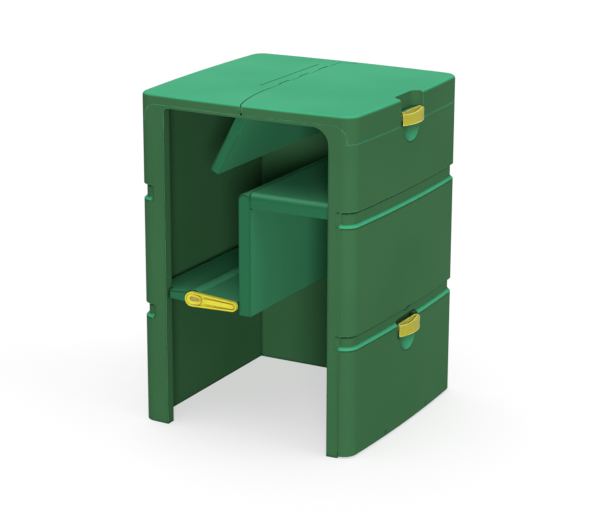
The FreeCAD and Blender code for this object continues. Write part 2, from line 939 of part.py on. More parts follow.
def build_lid():
    lid = roof_blank("lid_shell", s.lid_gap)
    lid.pocket("XY", parting_low, s.casing_height + s.overcut, [seam_outline(-1)])
    lid.pocket(
        "XZ",
        -cavity_y,
        cavity_y,
        [
            rectangle(
                -s.seam_offset - s.far_overcut,
                s.channel_right,
                roof_underside - s.overcut,
                channel_top,
            )
        ],
    )
    # The front boss of the swing flap's pin stays on the fixed roof, so the lid is cut clear of it.
    clear = s.swing_boss_radius + s.lid_gap
    lid.pocket(
        "XZ",
        -half_depth - s.overcut,
        -cavity_y + s.overcut,
        [
            [
                line_to(-s.swing_pin_offset - clear, roof_underside - s.overcut),
                line_to(-s.swing_pin_offset + clear, roof_underside - s.overcut),
                line_to(-s.swing_pin_offset + clear, swing_pin_height),
                arc_to(-s.swing_pin_offset - clear, swing_pin_height, clear * HALF_CIRCLE),
            ]
        ],
    )
    add_lid_knuckles(lid)
    bore_hinge(lid)
    cut_lid_notch(lid)
    cut_latch_recess(lid, lid_latch_height, s.lid_recess_radius, s.lid_recess_end_radius)
    cut_latch_pin_holes(lid, lid_latch_height)
    return lid


def cut_lid_notch(lid):
    """The bay in the lid's edge where the latch swings in."""
    half = s.lid_notch_width / 2
    back = half_width - s.lid_notch_depth
    radius = s.lid_notch_radius
    lid.pocket(
        "XY",
        lid_notch_floor,
        s.casing_height + s.overcut,
        [
            [
                line_to(half_width + s.far_overcut, -half),
                line_to(half_width + s.far_overcut, half),
                line_to(back + radius, half),
                arc_to(back, half - radius, radius),
                line_to(back, -half + radius),
                arc_to(back + radius, -half, radius),
            ]
        ],
    )


def cut_latch_recess(piece, height, middle_radius, end_radius):
    """The space a latch turns in: round about its pin and widest in the middle."""
    half = s.latch_width / 2 + s.latch_recess_gap
    rise = middle_radius - end_radius
    sweep = (half * half + rise * rise) / rise / 2
    piece.groove(
        "XY",
        height,
        [
            line_to(latch_x, -half),
            line_to(latch_x, half),
            line_to(latch_x - end_radius, half),
            arc_to(latch_x - end_radius, -half, sweep),
        ],
        latch_x,
    )


def cut_latch_pin_holes(piece, height):
    half = s.latch_width / 2 + s.latch_recess_gap + s.latch_pin_grip
    piece.pocket(
        "XZ", -half, half, circles=[(latch_x, height, s.latch_pin_radius + s.running_gap)]
    )


def latch_plan(back, proud, inset=0):
    """A latch's plan: a flat back, slanted ends and a bowed front, set in by inset."""
    half = s.latch_width / 2 - inset
    end = half_width + s.latch_end_proud - inset
    rise = proud - s.latch_end_proud
    sweep = (half * half + rise * rise) / rise / 2
    back_half = half - s.latch_end_slant
    return [
        line_to(back, -back_half),
        line_to(end, -half),
        arc_to(end, half, sweep),
        line_to(back, back_half),
    ]


def build_latch(label, height):
    """A moulded pull latch: a tray on top, and a bowed face that flares out to its lower lip."""
    latch = Piece(label)
    half = s.latch_width / 2
    back = latch_x - s.overcut
    top = height + s.latch_top
    bottom = height - s.latch_bottom
    front = half_width + s.latch_proud
    latch.loft(
        "XY",
        bottom,
        height,
        latch_plan(back, s.latch_proud),
        latch_plan(back, s.latch_ridge_proud),
    )
    latch.pad("XY", height, top, [latch_plan(back, s.latch_ridge_proud)])
    # The top slopes down to the ridge, and its two upper corners are round.
    latch.pocket(
        "XZ",
        -half - s.overcut,
        half + s.overcut,
        [
            [
                line_to(half_width, top),
                line_to(half_width + s.latch_ridge_proud, height),
                line_to(front, height),
                line_to(front, top + s.overcut),
                line_to(half_width, top + s.overcut),
            ]
        ],
    )
    turn = s.latch_corner_radius
    past = s.overcut
    for side in (1, -1):
        latch.pocket(
            "YZ",
            back - past,
            front,
            [
                [
                    line_to((half - turn) * side, top + past),
                    line_to((half - turn) * side, top),
                    arc_to(half * side, top - turn, turn, turn=-side),
                    line_to((half + past) * side, top - turn),
                    line_to((half + past) * side, top + past),
                ]
            ],
        )
    rim = s.latch_rim
    tray_floor = height - s.latch_tray_floor
    latch.pocket("XY", tray_floor, top + past, [latch_plan(back + rim, s.latch_ridge_proud, rim)])
    # Below its barrel the latch stands clear of the wall, and it is hollow there for the fingers.
    lug_bottom = height - s.latch_lug_bottom
    wall_clear = half_width + s.overcut
    latch.pocket(
        "XY",
        bottom - past,
        lug_bottom,
        [rectangle(back - past, wall_clear, -half - past, half + past)],
    )
    latch.pocket(
        "XY",
        bottom - past,
        lug_bottom,
        [latch_plan(wall_clear, s.latch_ridge_proud, rim)],
    )
    # The barrel stops short of the lug at the back end, where a slot shows the pin.
    lug_end = half - s.latch_end_slant
    slot_end = lug_end - rim
    slot_start = slot_end - s.latch_slot
    latch.pocket(
        "XY",
        lug_bottom,
        height + s.latch_barrel_radius,
        [rectangle(back - past, back + rim * 2, slot_start, slot_end)],
    )
    for low, high in ((-lug_end, slot_start), (slot_end, lug_end)):
        latch.pad("XZ", low, high, circles=[(latch_x, height, s.latch_barrel_radius)])
    latch.pocket(
        "XZ",
        -half - past,
        half + past,
        circles=[(latch_x, height, s.latch_pin_radius + s.running_gap)],
    )
    return latch


def build_door():
    door = side_blank(
        "door_shell",
        1,
        s.door_ground_gap,
        s.lower_shoulder_top,
        s.middle_tier_base,
        seated=False,
        edge_gap=s.door_gap,
    )
    door.bevel_edges(s.door_bottom_chamfer, on_outer_edge(s.door_ground_gap))
    edge = front_half + s.door_gap
    door.pocket(
        "XZ",
        -reach,
        reach,
        [
            [
                line_to(edge - s.overcut, 0),
                line_to(edge + s.door_return_relief, 0),
                line_to(edge + s.door_return_relief, s.door_ground_gap),
                line_to(edge, s.door_hinge_height),
                line_to(edge - s.overcut, s.door_hinge_height),
            ]
        ],
    )
    cut_latch_recess(door, door_latch_height, s.door_recess_radius, s.door_recess_end_radius)
    cut_latch_pin_holes(door, door_latch_height)
    cut_scoop(door, door_latch_height)
    collar_top = s.middle_tier_base - s.shadow_gap
    cut_keeper_slot(door, s.middle_tier_base - s.keeper_slot_drop, collar_top + s.overcut)
    half = s.ear_thickness / 2 + s.ear_gap
    for middle in (-s.ear_spacing / 2, s.ear_spacing / 2):
        door.pocket(
            "XY",
            0,
            s.door_hinge_height + s.ear_radius + s.ear_gap * 2,
            [
                rectangle(
                    cavity_x - s.overcut,
                    door_hinge_x + s.ear_radius + s.ear_gap,
                    middle - half,
                    middle + half,
                )
            ],
        )
        door.pocket(
            "XZ",
            middle - s.door_pin_length / 2,
            middle + s.door_pin_length / 2,
            circles=[(door_hinge_x, s.door_hinge_height, s.door_pin_radius + s.running_gap)],
        )
    return door


def build_sill():
    """The bar across the foot of the door opening, with the ears that carry the door."""
    sill = Piece("door_sill")
    outer = cavity_x - s.sill_inset
    inner = outer - s.sill_width
    sill.pad("XZ", -cavity_y, cavity_y, [rectangle(inner, outer, as_size(0), s.sill_height)])
    for middle in (-s.ear_spacing / 2, s.ear_spacing / 2):
        sill.pad(
            "XZ",
            middle - s.ear_thickness / 2,
            middle + s.ear_thickness / 2,
            [
                [
                    line_to(outer - s.ear_radius, s.door_hinge_height - s.ear_radius),
                    line_to(door_hinge_x, s.door_hinge_height - s.ear_radius),
                    arc_to(door_hinge_x, s.door_hinge_height + s.ear_radius, s.ear_radius * HALF_CIRCLE),
                    line_to(outer - s.ear_radius, s.door_hinge_height + s.ear_radius),
                ]
            ],
        )
    sill.pocket(
        "XZ",
        -s.ear_spacing,
        s.ear_spacing,
        circles=[(door_hinge_x, s.door_hinge_height, s.door_pin_radius + s.running_gap)],
    )
    return sill


def build_partition():
    partition = Piece("partition_wall")
    half = s.partition_thickness / 2
    partition.pad(
        "XZ",
        -inner_front_y,
        cavity_y + s.housing_depth,
        [
            [
                line_to(-half, s.partition_bottom),
                line_to(half, s.partition_bottom),
                line_to(half, s.partition_top - half),
                arc_to(-half, s.partition_top - half, half * HALF_CIRCLE),
            ]
        ],
    )
    middle = s.shelf_bottom + s.shelf_thickness / 2
    slot = s.shelf_tongue_thickness / 2 + s.easy_gap
    partition.pocket(
        "XZ",
        -inner_front_y + s.shelf_tongue_setback - s.easy_gap,
        cavity_y,
        [
            rectangle(
                half - s.shelf_tongue_length - s.easy_gap,
                half + s.overcut,
                middle - slot,
                middle + slot,
            )
        ],
    )
    return partition


def build_shelf():
    """The floor of the filling chamber, with a round front edge and a tongue into the partition."""
    shelf = Piece("chamber_shelf")
    left = s.partition_thickness / 2
    top = s.shelf_bottom + s.shelf_thickness
    nose = s.shelf_nose_radius
    shelf.pad(
        "YZ",
        left,
        cavity_x,
        [
            [
                line_to(-inner_front_y, s.shelf_bottom),
                line_to(cavity_y, s.shelf_bottom),
                line_to(cavity_y, top),
                line_to(-inner_front_y + nose, top),
                arc_to(-inner_front_y, top - nose, nose),
            ]
        ],
    )
    shelf.pocket(
        "XY",
        s.shelf_bottom - s.overcut,
        top + s.overcut,
        [
            rectangle(
                opening_right - s.easy_gap,
                cavity_x + s.overcut,
                -inner_front_y - s.overcut,
                -cavity_y + s.easy_gap,
            )
        ],
    )
    middle = s.shelf_bottom + s.shelf_thickness / 2
    half = s.shelf_tongue_thickness / 2
    shelf.pad(
        "XZ",
        -inner_front_y + s.shelf_tongue_setback,
        cavity_y - s.easy_gap,
        [rectangle(left - s.shelf_tongue_length, left + s.overcut, middle - half, middle + half)],
    )
    return shelf


def build_rails():
    """The rail under the shelf and the stop that the closed floor flap rests on."""
    rail = Piece("shelf_rail")
    length = cavity_y - s.end_gap
    rail.pad(
        "XZ",
        -length,
        length,
        [
            [
                line_to(cavity_x, s.shelf_bottom - s.rail_height),
                line_to(cavity_x, s.shelf_bottom),
                line_to(cavity_x - s.rail_width, s.shelf_bottom),
                line_to(cavity_x - s.rail_width, s.shelf_bottom - s.rail_height / 3),
            ]
        ],
    )
    stop = Piece("flap_stop_rail")
    top = s.floor_flap_height - s.floor_flap_tip - s.easy_gap
    stop.pad(
        "XZ",
        -length,
        length,
        [
            [
                line_to(-cavity_x, top - s.stop_height),
                line_to(-cavity_x + s.stop_width, top - s.stop_height / 3),
                line_to(-cavity_x + s.stop_width, top),
                line_to(-cavity_x, top),
            ]
        ],
    )
    return rail, stop


def build_swing_flap():
    """A hanging flap drawn about its own pin and then tilted: a tube, a neck and a thick plate."""
    flap = Piece("swing_flap")
    half = s.swing_flap_thickness / 2
    length = s.swing_flap_length
    edge = s.swing_flap_edge_radius
    ends = cavity_y - s.end_gap
    flap.pad(
        "XZ",
        -ends,
        ends,
        [
            [
                line_to(s.swing_tube_radius, 0),
                arc_to(-s.swing_tube_radius, 0, s.swing_tube_radius * HALF_CIRCLE),
                line_to(-half, -s.swing_neck_length),
                line_to(-half, -length + edge),
                arc_to(-half + edge, -length, edge),
                line_to(half - edge, -length),
                arc_to(half, -length + edge, edge),
                line_to(half, -s.swing_neck_length),
            ]
        ],
    )
    flap.pocket("XZ", -reach, reach, circles=[(0, 0, s.swing_pin_radius + s.running_gap)])
    body = flap.body
    body.Placement.Rotation = FreeCAD.Rotation(FreeCAD.Vector(0, 1, 0), s.swing_flap_tilt.value)
    body.setExpression("Placement.Base.x", (-s.swing_pin_offset - origin_step).formula)
    body.setExpression("Placement.Base.z", swing_pin_height.formula)
    body.setExpression("Placement.Rotation.Angle", s.swing_flap_tilt.formula)
    return flap


def build_floor_flap():
    """The turning floor of the left chamber: a blade that thins towards both tips."""
    flap = Piece("floor_flap")
    x, z = -flap_x, s.floor_flap_height
    half, hub, tip = flap_half, s.floor_flap_hub, s.floor_flap_tip
    rise, curve = s.floor_flap_hub_rise, s.floor_flap_hub_curve
    taper = half - tip
    flap.pad(
        "XZ",
        -inner_front_y,
        cavity_y - s.bush_flange - s.end_gap,
        [
            [
                line_to(x - hub, z - rise),
                arc_to(x + hub, z - rise, curve),
                line_to(x + taper, z - tip),
                arc_to(x + taper, z + tip, tip * HALF_CIRCLE),
                line_to(x + hub, z + rise),
                arc_to(x - hub, z + rise, curve),
                line_to(x - taper, z + tip),
                arc_to(x - taper, z - tip, tip * HALF_CIRCLE),
            ]
        ],
    )
    flap.pocket(
        "XY",
        z - hub * 2,
        z + hub * 2,
        [
            rectangle(
                x - half - s.overcut,
                -opening_left + s.flap_corner_gap,
                -inner_front_y - s.overcut,
                -cavity_y + s.flap_corner_gap,
            )
        ],
    )
    flap.pocket("XZ", -reach, reach, circles=[(x, z, s.shaft_radius + s.running_gap)])
    return flap


def build_lever():
    """The lever on the flap's shaft: a round hub and a tapered arm with a rim and a grip bar."""
    lever = Piece("flap_lever")
    x, z = -flap_x, s.floor_flap_height
    front = lever_front
    back = front + s.lever_thickness
    lever.pad("XZ", front, back, [lever_outline(x, z, 0)])
    lever.pocket(
        "XZ",
        front - s.overcut,
        front + s.lever_channel_depth,
        [lever_outline(x, z, s.lever_rim)],
    )
    middle = (s.lever_grip_start + s.lever_grip_end) / 2
    grip_half = (s.lever_grip_end - s.lever_grip_start) / 2 - s.lever_grip_radius
    floor = front + s.lever_channel_depth
    lever.pad(
        "XZ",
        floor - s.lever_grip_height,
        floor,
        [round_slot(x + middle, z, grip_half, s.lever_grip_radius)],
    )
    lever.pocket(
        "XZ", floor + s.lever_floor, back + s.overcut, circles=[(x, z, s.shaft_radius + s.running_gap)]
    )
    return lever


def lever_outline(x, z, inset):
    """Two circles and their outer tangents, set in by inset."""
    inset = as_size(inset)
    hub = s.lever_hub_radius - inset
    tip = s.lever_tip_radius - inset
    lean = (s.lever_hub_radius - s.lever_tip_radius) / s.lever_length
    rise = root(1 - lean * lean)
    tip_x = x + s.lever_length
    return [
        arc_to(x + hub * lean, z - hub * rise, hub),
        line_to(tip_x + tip * lean, z - tip * rise),
        arc_to(tip_x + tip, z, tip),
        arc_to(tip_x + tip * lean, z + tip * rise, tip),
        line_to(x + hub * lean, z + hub * rise),
        arc_to(x - hub, z, hub),
    ]


def rod(label, x, z, radius, low, high):
    """A plain pin along Y."""
    pin = document.addObject("Part::Cylinder", label)
    pin.Label = label
    pin.Radius = radius.value
    pin.setExpression("Radius", radius.formula)
    pin.Height = (high - low).value
    pin.setExpression("Height", (high - low).formula)
    pin.Placement.Rotation = FreeCAD.Rotation(FreeCAD.Vector(1, 0, 0), -90)
    for axis, place in (("x", x - origin_step), ("y", as_size(low)), ("z", as_size(z))):
        pin.setExpression(f"Placement.Base.{axis}", place.formula)
    return pin


def build_bush():
    """The flanged bush in the back wall that carries the shaft's far end."""
    bush = Piece("flap_shaft_bush")
    x, z = -flap_x, s.floor_flap_height
    bush.pad("XZ", cavity_y - s.bush_flange, cavity_y, circles=[(x, z, s.bush_flange_radius)])
    bush.pad("XZ", cavity_y, cavity_y + s.bush_depth, circles=[(x, z, s.bush_radius)])
    bush.pocket("XZ", -reach, reach, circles=[(x, z, s.shaft_radius + s.running_gap)])
    return bush


def build_pins():
    grip = s.latch_width / 2 + s.latch_recess_gap + s.latch_pin_grip
    pins = [
        rod(
            "swing_flap_pin",
            -s.swing_pin_offset,
            swing_pin_height,
            s.swing_pin_radius,
            -half_depth + s.pin_setback,
            half_depth - s.pin_setback,
        ),
        rod(
            "lid_hinge_pin",
            -s.hinge_offset,
            hinge_height,
            s.hinge_pin_radius,
            hinge_start,
            hinge_start + hinge_run,
        ),
        rod(
            "flap_shaft",
            -flap_x,
            s.floor_flap_height,
            s.shaft_radius,
            lever_front + s.lever_channel_depth + s.lever_floor,
            cavity_y + s.bush_depth - s.shaft_end_gap,
        ),
        rod("lid_latch_pin", latch_x, lid_latch_height, s.latch_pin_radius, -grip, grip),
        rod("door_latch_pin", latch_x, door_latch_height, s.latch_pin_radius, -grip, grip),
    ]
    door_pins = Piece("door_hinge_pins")
    half = s.door_pin_length / 2
    place = (door_hinge_x, s.door_hinge_height, s.door_pin_radius)
    for middle in (-s.ear_spacing / 2, s.ear_spacing / 2):
        door_pins.pad("XZ", middle - half, middle + half, circles=[place])
    return pins + [door_pins.body]


def build_all():
    """Every sub-part of the bin, in the order in which it is put together."""
    tiers = build_side_tiers()
    cut_scoop(tiers["right_upper_panel"], lid_latch_height)
    slot_low = s.middle_tier_base - s.overcut
    cut_keeper_slot(tiers["right_middle_panel"], slot_low, s.middle_tier_base + s.keeper_slot_rise)
    pieces = [build_front_frame(), build_back_panel(), *tiers.values()]
    pieces += [build_fixed_roof(), build_partition(), build_shelf(), *build_rails()]
    pieces += [build_swing_flap(), build_bush(), build_floor_flap(), build_lever()]
    pieces += [build_lid(), build_latch("lid_latch", lid_latch_height)]
    pieces += [build_sill(), build_door(), build_latch("door_latch", door_latch_height)]
    return [piece.body for piece in pieces] + build_pins()


def check_document():
    """Stop if any object of the document failed."""
    for item in document.Objects:
        if "Invalid" in item.State or "Error" in item.State:
            raise RuntimeError(f"{item.Label} is {item.State}")


def write_parts(bodies):
    os.makedirs("parts", exist_ok=True)
    for body in bodies:
        shape = body.Shape
        if shape.isNull() or not shape.isValid():
            raise RuntimeError(f"{body.Label} has no valid shape")
        shape.exportStep(os.path.join("parts", f"{body.Label}.step"))
        print(f"{body.Label}: {len(shape.Solids)} solid, {shape.Volume / 1e6:.3f} litres")


bodies = build_all()
document.recompute()
check_document()
write_parts(bodies)
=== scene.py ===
"""Looks of the compost bin: finishes, softened edges, moulded details, camera and light."""

import json
import logging
import math
from dataclasses import dataclass
from enum import Enum
from typing import Callable

import bmesh
import bpy
from mathutils import Matrix, Vector

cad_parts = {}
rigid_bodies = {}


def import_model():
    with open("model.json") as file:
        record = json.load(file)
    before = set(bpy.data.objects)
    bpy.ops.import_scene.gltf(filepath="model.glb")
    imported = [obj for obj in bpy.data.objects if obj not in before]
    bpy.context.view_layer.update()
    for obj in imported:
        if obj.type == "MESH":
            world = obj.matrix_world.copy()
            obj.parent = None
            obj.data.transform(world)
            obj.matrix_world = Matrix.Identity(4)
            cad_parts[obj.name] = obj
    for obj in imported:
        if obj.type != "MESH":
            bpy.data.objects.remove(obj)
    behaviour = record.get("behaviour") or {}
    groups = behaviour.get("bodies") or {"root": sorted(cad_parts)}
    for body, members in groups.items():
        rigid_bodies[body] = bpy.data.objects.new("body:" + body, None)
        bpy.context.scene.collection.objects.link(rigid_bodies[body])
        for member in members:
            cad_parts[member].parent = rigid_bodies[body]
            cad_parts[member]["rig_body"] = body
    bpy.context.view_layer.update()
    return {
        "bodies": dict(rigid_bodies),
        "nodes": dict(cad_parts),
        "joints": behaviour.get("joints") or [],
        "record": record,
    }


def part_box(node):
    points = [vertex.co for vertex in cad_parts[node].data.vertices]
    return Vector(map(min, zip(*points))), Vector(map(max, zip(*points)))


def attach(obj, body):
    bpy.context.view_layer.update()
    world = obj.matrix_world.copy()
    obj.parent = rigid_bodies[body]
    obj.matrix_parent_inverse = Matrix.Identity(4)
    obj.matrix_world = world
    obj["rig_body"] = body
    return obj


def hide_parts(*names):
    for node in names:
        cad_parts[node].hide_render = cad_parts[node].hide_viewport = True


log = logging.getLogger("compost_bin")

Colour = tuple[float, float, float]
Point = tuple[float, float, float]
Span = tuple[float, float]

MM = 0.001
WHITE = (1.0, 1.0, 1.0)

# The casing's own centre line. The frame's origin counts the latches too.
MIDDLE_X = -13.0 * MM
# Upright planes on which the side walls meet the front frame and the back flush.
SEAM_PLANES = (-351.0 * MM, 325.0 * MM)
# Height above which both halves of the roof are rounded.
ROOF_ROUNDING = 1087.9 * MM
# The least turn of an edge that counts as sharp, and of one that counts as dented.
SHARP_ANGLE = math.radians(38.0)
DENT_ANGLE = math.radians(0.3)
# The most that the faces of one plane differ, and the vertices of one place.
SAME_PLANE = math.radians(0.1)
SAME_PLACE = 0.01 * MM
# The Z of a normal on the roof's rounding, and the most that the Y of a front face's may be.
SLANTED = (0.01, 0.9999)
FRONT_LIMIT = -0.9
# A distance that is nothing beside the pieces, to tell their ends apart.
MARGIN = 0.1 * MM


def linear(red: int, green: int, blue: int) -> Colour:
    """Turn a colour as seen on a screen into a linear one.

    Args:
        red: Red from 0 to 255.
        green: Green from 0 to 255.
        blue: Blue from 0 to 255.

    Returns:
        The linear colour, each channel from 0 to 1.
    """

    def channel(level: int) -> float:
        """Turn one channel."""
        share = level / 255
        return share / 12.92 if share <= 0.04045 else ((share + 0.055) / 1.055) ** 2.4

    return channel(red), channel(green), channel(blue)


class Graph:
    """A short way to add and join the nodes of one node tree."""

    def __init__(self, tree: bpy.types.NodeTree) -> None:
        """Start on a tree, which keeps the nodes that it has."""
        self.tree = tree

    def add(self, kind: str, inputs: dict | None = None, **settings: object) -> bpy.types.Node:
        """Add a node.

        Args:
            kind: The node's type name.
            inputs: Values or sockets for its inputs, by name or index.
            settings: Properties of the node itself.

        Returns:
            The new node.
        """
        node = self.tree.nodes.new(kind)
        for name, value in settings.items():
            setattr(node, name, value)
        for name, value in (inputs or {}).items():
            self.feed(node, name, value)
        return node

    def feed(self, node: bpy.types.Node, name: str | int, value: object) -> None:
        """Set one input to a plain value, or join it to a socket.

        Args:
            node: The node.
            name: The input's name or index.
            value: A number, a colour, a vector or another node's socket.
        """
        socket = node.inputs[name]
        if isinstance(value, bpy.types.NodeSocket):
            self.tree.links.new(value, socket)
        elif isinstance(value, tuple) and len(value) == 3 and socket.type == "RGBA":
            socket.default_value = (*value, 1.0)
        else:
            socket.default_value = value

    def group(self, tree: bpy.types.NodeTree, **values: float) -> bpy.types.bpy_prop_collection:
        """Place a shared effect.

        Args:
            tree: The effect's node group.
            values: Values for its inputs, by their names in lower case.

        Returns:
            Its outputs.
        """
        node = self.add("ShaderNodeGroup", node_tree=tree)
        for name, value in values.items():
            node.inputs[name.capitalize()].default_value = value
        return node.outputs

    def maths(self, operation: str, *values: object) -> bpy.types.NodeSocket:
        """Add a Math node and return its result."""
        return self.add("ShaderNodeMath", dict(enumerate(values)), operation=operation).outputs[0]

    def product(self, *values: object) -> bpy.types.NodeSocket:
        """Multiply values, one after another.

        Args:
            values: Two or more numbers or sockets.

        Returns:
            Their product.
        """
        result, *others = values
        for other in others:
            result = self.maths("MULTIPLY", result, other)
        return result

    def lack(self, share: object) -> bpy.types.NodeSocket:
        """Return what a share lacks of 1."""
        return self.maths("SUBTRACT", 1.0, share)

    def distance(self, place: object, plane: float) -> bpy.types.NodeSocket:
        """Return how far a coordinate is from a plane, on either side."""
        return self.maths("ABSOLUTE", self.maths("SUBTRACT", place, plane))

    def mix(self, share: object, first: object, second: object) -> bpy.types.NodeSocket:
        """Blend two colours by the second one's share and return the result."""
        inputs = {0: share, 6: first, 7: second}
        return self.add("ShaderNodeMix", inputs, data_type="RGBA").outputs[2]

    def steps(self, value: object, span: tuple[object, object]) -> bpy.types.NodeSocket:
        """Map a span of values to 0 to 1, with a soft start and end.

        Args:
            value: The value.
            span: Where the map starts and ends, as numbers or sockets.

        Returns:
            The mapped value.
        """
        inputs = {"Value": value, "From Min": span[0], "From Max": span[1]}
        node = self.add("ShaderNodeMapRange", inputs, interpolation_type="SMOOTHSTEP")
        return node.outputs["Result"]

    def noise(self, place: object, scale: object, detail: float) -> bpy.types.NodeSocket:
        """Add a Noise Texture node and return its value."""
        inputs = {"Vector": place, "Scale": scale, "Detail": detail}
        return self.add("ShaderNodeTexNoise", inputs).outputs["Fac"]

    def bump(self, height: object, strength: float, depth: float) -> bpy.types.NodeSocket:
        """Add a Bump node and return its normal."""
        inputs = {"Height": height, "Strength": strength, "Distance": depth}
        return self.add("ShaderNodeBump", inputs).outputs["Normal"]

    def object_place(self) -> bpy.types.NodeSocket:
        """Return the place on the piece, in Object coordinates."""
        return self.add("ShaderNodeTexCoord").outputs["Object"]


def node_group(
    name: str, inputs: dict[str, float], outputs: tuple[str, ...]
) -> tuple[bpy.types.NodeTree, Graph, bpy.types.bpy_prop_collection, bpy.types.Node]:
    """Make an empty shader node group with named number sockets.

    Args:
        name: The group's name.
        inputs: Its inputs and their usual values.
        outputs: Its outputs.

    Returns:
        The group, a Graph on it, the sockets of its inputs and its output node.
    """
    group = bpy.data.node_groups.new(name, "ShaderNodeTree")
    for label, usual in inputs.items():
        socket = group.interface.new_socket(label, in_out="INPUT", socket_type="NodeSocketFloat")
        socket.default_value = usual
    for label in outputs:
        group.interface.new_socket(label, in_out="OUTPUT", socket_type="NodeSocketFloat")
    graph = Graph(group)
    return group, graph, graph.add("NodeGroupInput").outputs, graph.add("NodeGroupOutput")


@dataclass
class SharedEffects:
    """Surface effects that several finishes use, each a node group built once."""

    pebble_height: float = 0.3
    cloud_span: Span = (0.3, 0.7)
    speck_span: Span = (0.6, 0.78)
    edge_span: Span = (0.02, 0.22)
    patch_scale: float = 70.0
    patch_span: Span = (0.2, 0.55)
    hollow_span: Span = (0.1, 0.5)
    overhang: float = 8.0 * MM
    under_span: Span = (0.06, 0.4)
    samples: int = 6

    def __post_init__(self) -> None:
        """Build every group."""
        self.grain = self.build_grain()
        self.facing = self.build_facing()
        self.clouding = self.build_clouding()
        self.painted_light = self.build_painted_light()

    def build_grain(self) -> bpy.types.NodeTree:
        """Build the fine pebbled grain of a mould over faint sink waves.

        Returns:
            The node group, with a Height.
        """
        group, graph, given, result = node_group(
            "moulding_grain", {"Scale": 900.0, "Waves": 5.0, "Swell": 0.6}, ("Height",)
        )
        place = graph.object_place()
        pebbles = graph.noise(place, given["Scale"], detail=2.0)
        waves = graph.noise(place, given["Waves"], detail=0.0)
        fine = graph.product(pebbles, self.pebble_height)
        swell = graph.product(waves, given["Swell"])
        graph.feed(result, "Height", graph.maths("ADD", fine, swell))
        return group

    def build_facing(self) -> bpy.types.NodeTree:
        """Build the masks of the faces that look up, and of those that look to the front.

        Returns:
            The node group, whose Sky is 1 on level faces, and Front 1 on faces to the front.
        """
        group, graph, given, result = node_group(
            "facing", {"Start": 0.2, "End": 0.85}, ("Sky", "Front")
        )
        normal = graph.add("ShaderNodeTexCoord").outputs["Normal"]
        parts = graph.add("ShaderNodeSeparateXYZ", {0: normal}).outputs
        span = (given["Start"], given["End"])
        graph.feed(result, "Sky", graph.steps(parts["Z"], span))
        graph.feed(result, "Front", graph.steps(graph.product(parts["Y"], -1.0), span))
        return group

    def build_clouding(self) -> bpy.types.NodeTree:
        """Build the faint unevenness of a large moulding's colour and shine.

        Returns:
            The node group, with a broad Cloud and finer Specks.
        """
        group, graph, given, result = node_group(
            "clouding", {"Scale": 2.2, "Fleck": 160.0}, ("Cloud", "Specks")
        )
        place = graph.object_place()
        cloud = graph.noise(place, given["Scale"], detail=2.0)
        graph.feed(result, "Cloud", graph.steps(cloud, self.cloud_span))
        specks = graph.noise(place, given["Fleck"], detail=2.0)
        graph.feed(result, "Specks", graph.steps(specks, self.speck_span))
        return group

    def build_painted_light(self) -> bpy.types.NodeTree:
        """Build masks that paint highlights on edges, and shade in hollows and under an overhang.

        Returns:
            The node group, with the masks Edge, Hollow and Under.
        """
        group, graph, given, result = node_group(
            "painted_light", {"Radius": 3.0 * MM, "Reach": 14.0 * MM}, ("Edge", "Hollow", "Under")
        )
        # Painted highlight on convex edges, broken into patches by noise.
        inputs = {"Radius": given["Radius"]}
        rounded = graph.add("ShaderNodeBevel", inputs, samples=self.samples).outputs["Normal"]
        flat = graph.add("ShaderNodeNewGeometry").outputs["Normal"]
        both = {0: rounded, 1: flat}
        alike = graph.add("ShaderNodeVectorMath", both, operation="DOT_PRODUCT").outputs["Value"]
        turned = graph.steps(graph.lack(alike), self.edge_span)
        patches = graph.noise(graph.object_place(), self.patch_scale, detail=3.0)
        broken = graph.steps(patches, self.patch_span)
        # Painted shade in hollows, from ambient occlusion.
        hollow = self.add_shelter(graph, self.hollow_span, {"Distance": given["Reach"]})
        # Painted shadow under an overhang, from occlusion looking upward.
        # The node reads its Normal only where that is linked.
        upward = graph.add("ShaderNodeCombineXYZ", {"Z": 1.0}).outputs["Vector"]
        inputs = {"Distance": self.overhang, "Normal": upward}
        graph.feed(result, "Edge", graph.product(turned, broken, graph.lack(hollow)))
        graph.feed(result, "Hollow", hollow)
        graph.feed(result, "Under", self.add_shelter(graph, self.under_span, inputs))
        return group

    def add_shelter(self, graph: Graph, span: Span, inputs: dict) -> bpy.types.NodeSocket:
        """Add the mask of the places that other faces shelter.

        Args:
            graph: The graph that it goes into.
            span: How sheltered a place is where the mask starts and where it is full.
            inputs: The reach, and the direction if it isn't the face's own.

        Returns:
            The mask.
        """
        node = graph.add("ShaderNodeAmbientOcclusion", inputs, samples=self.samples)
        return graph.steps(graph.lack(node.outputs["AO"]), span)


def new_material(name: str) -> tuple[bpy.types.Material, Graph, bpy.types.Node]:
    """Make an empty material with one Principled shader.

    Args:
        name: The material's name.

    Returns:
        The material, a Graph on its tree and its shader node.
    """
    material = bpy.data.materials.new(name)
    material.use_nodes = True
    graph = Graph(material.node_tree)
    return material, graph, material.node_tree.nodes["Principled BSDF"]


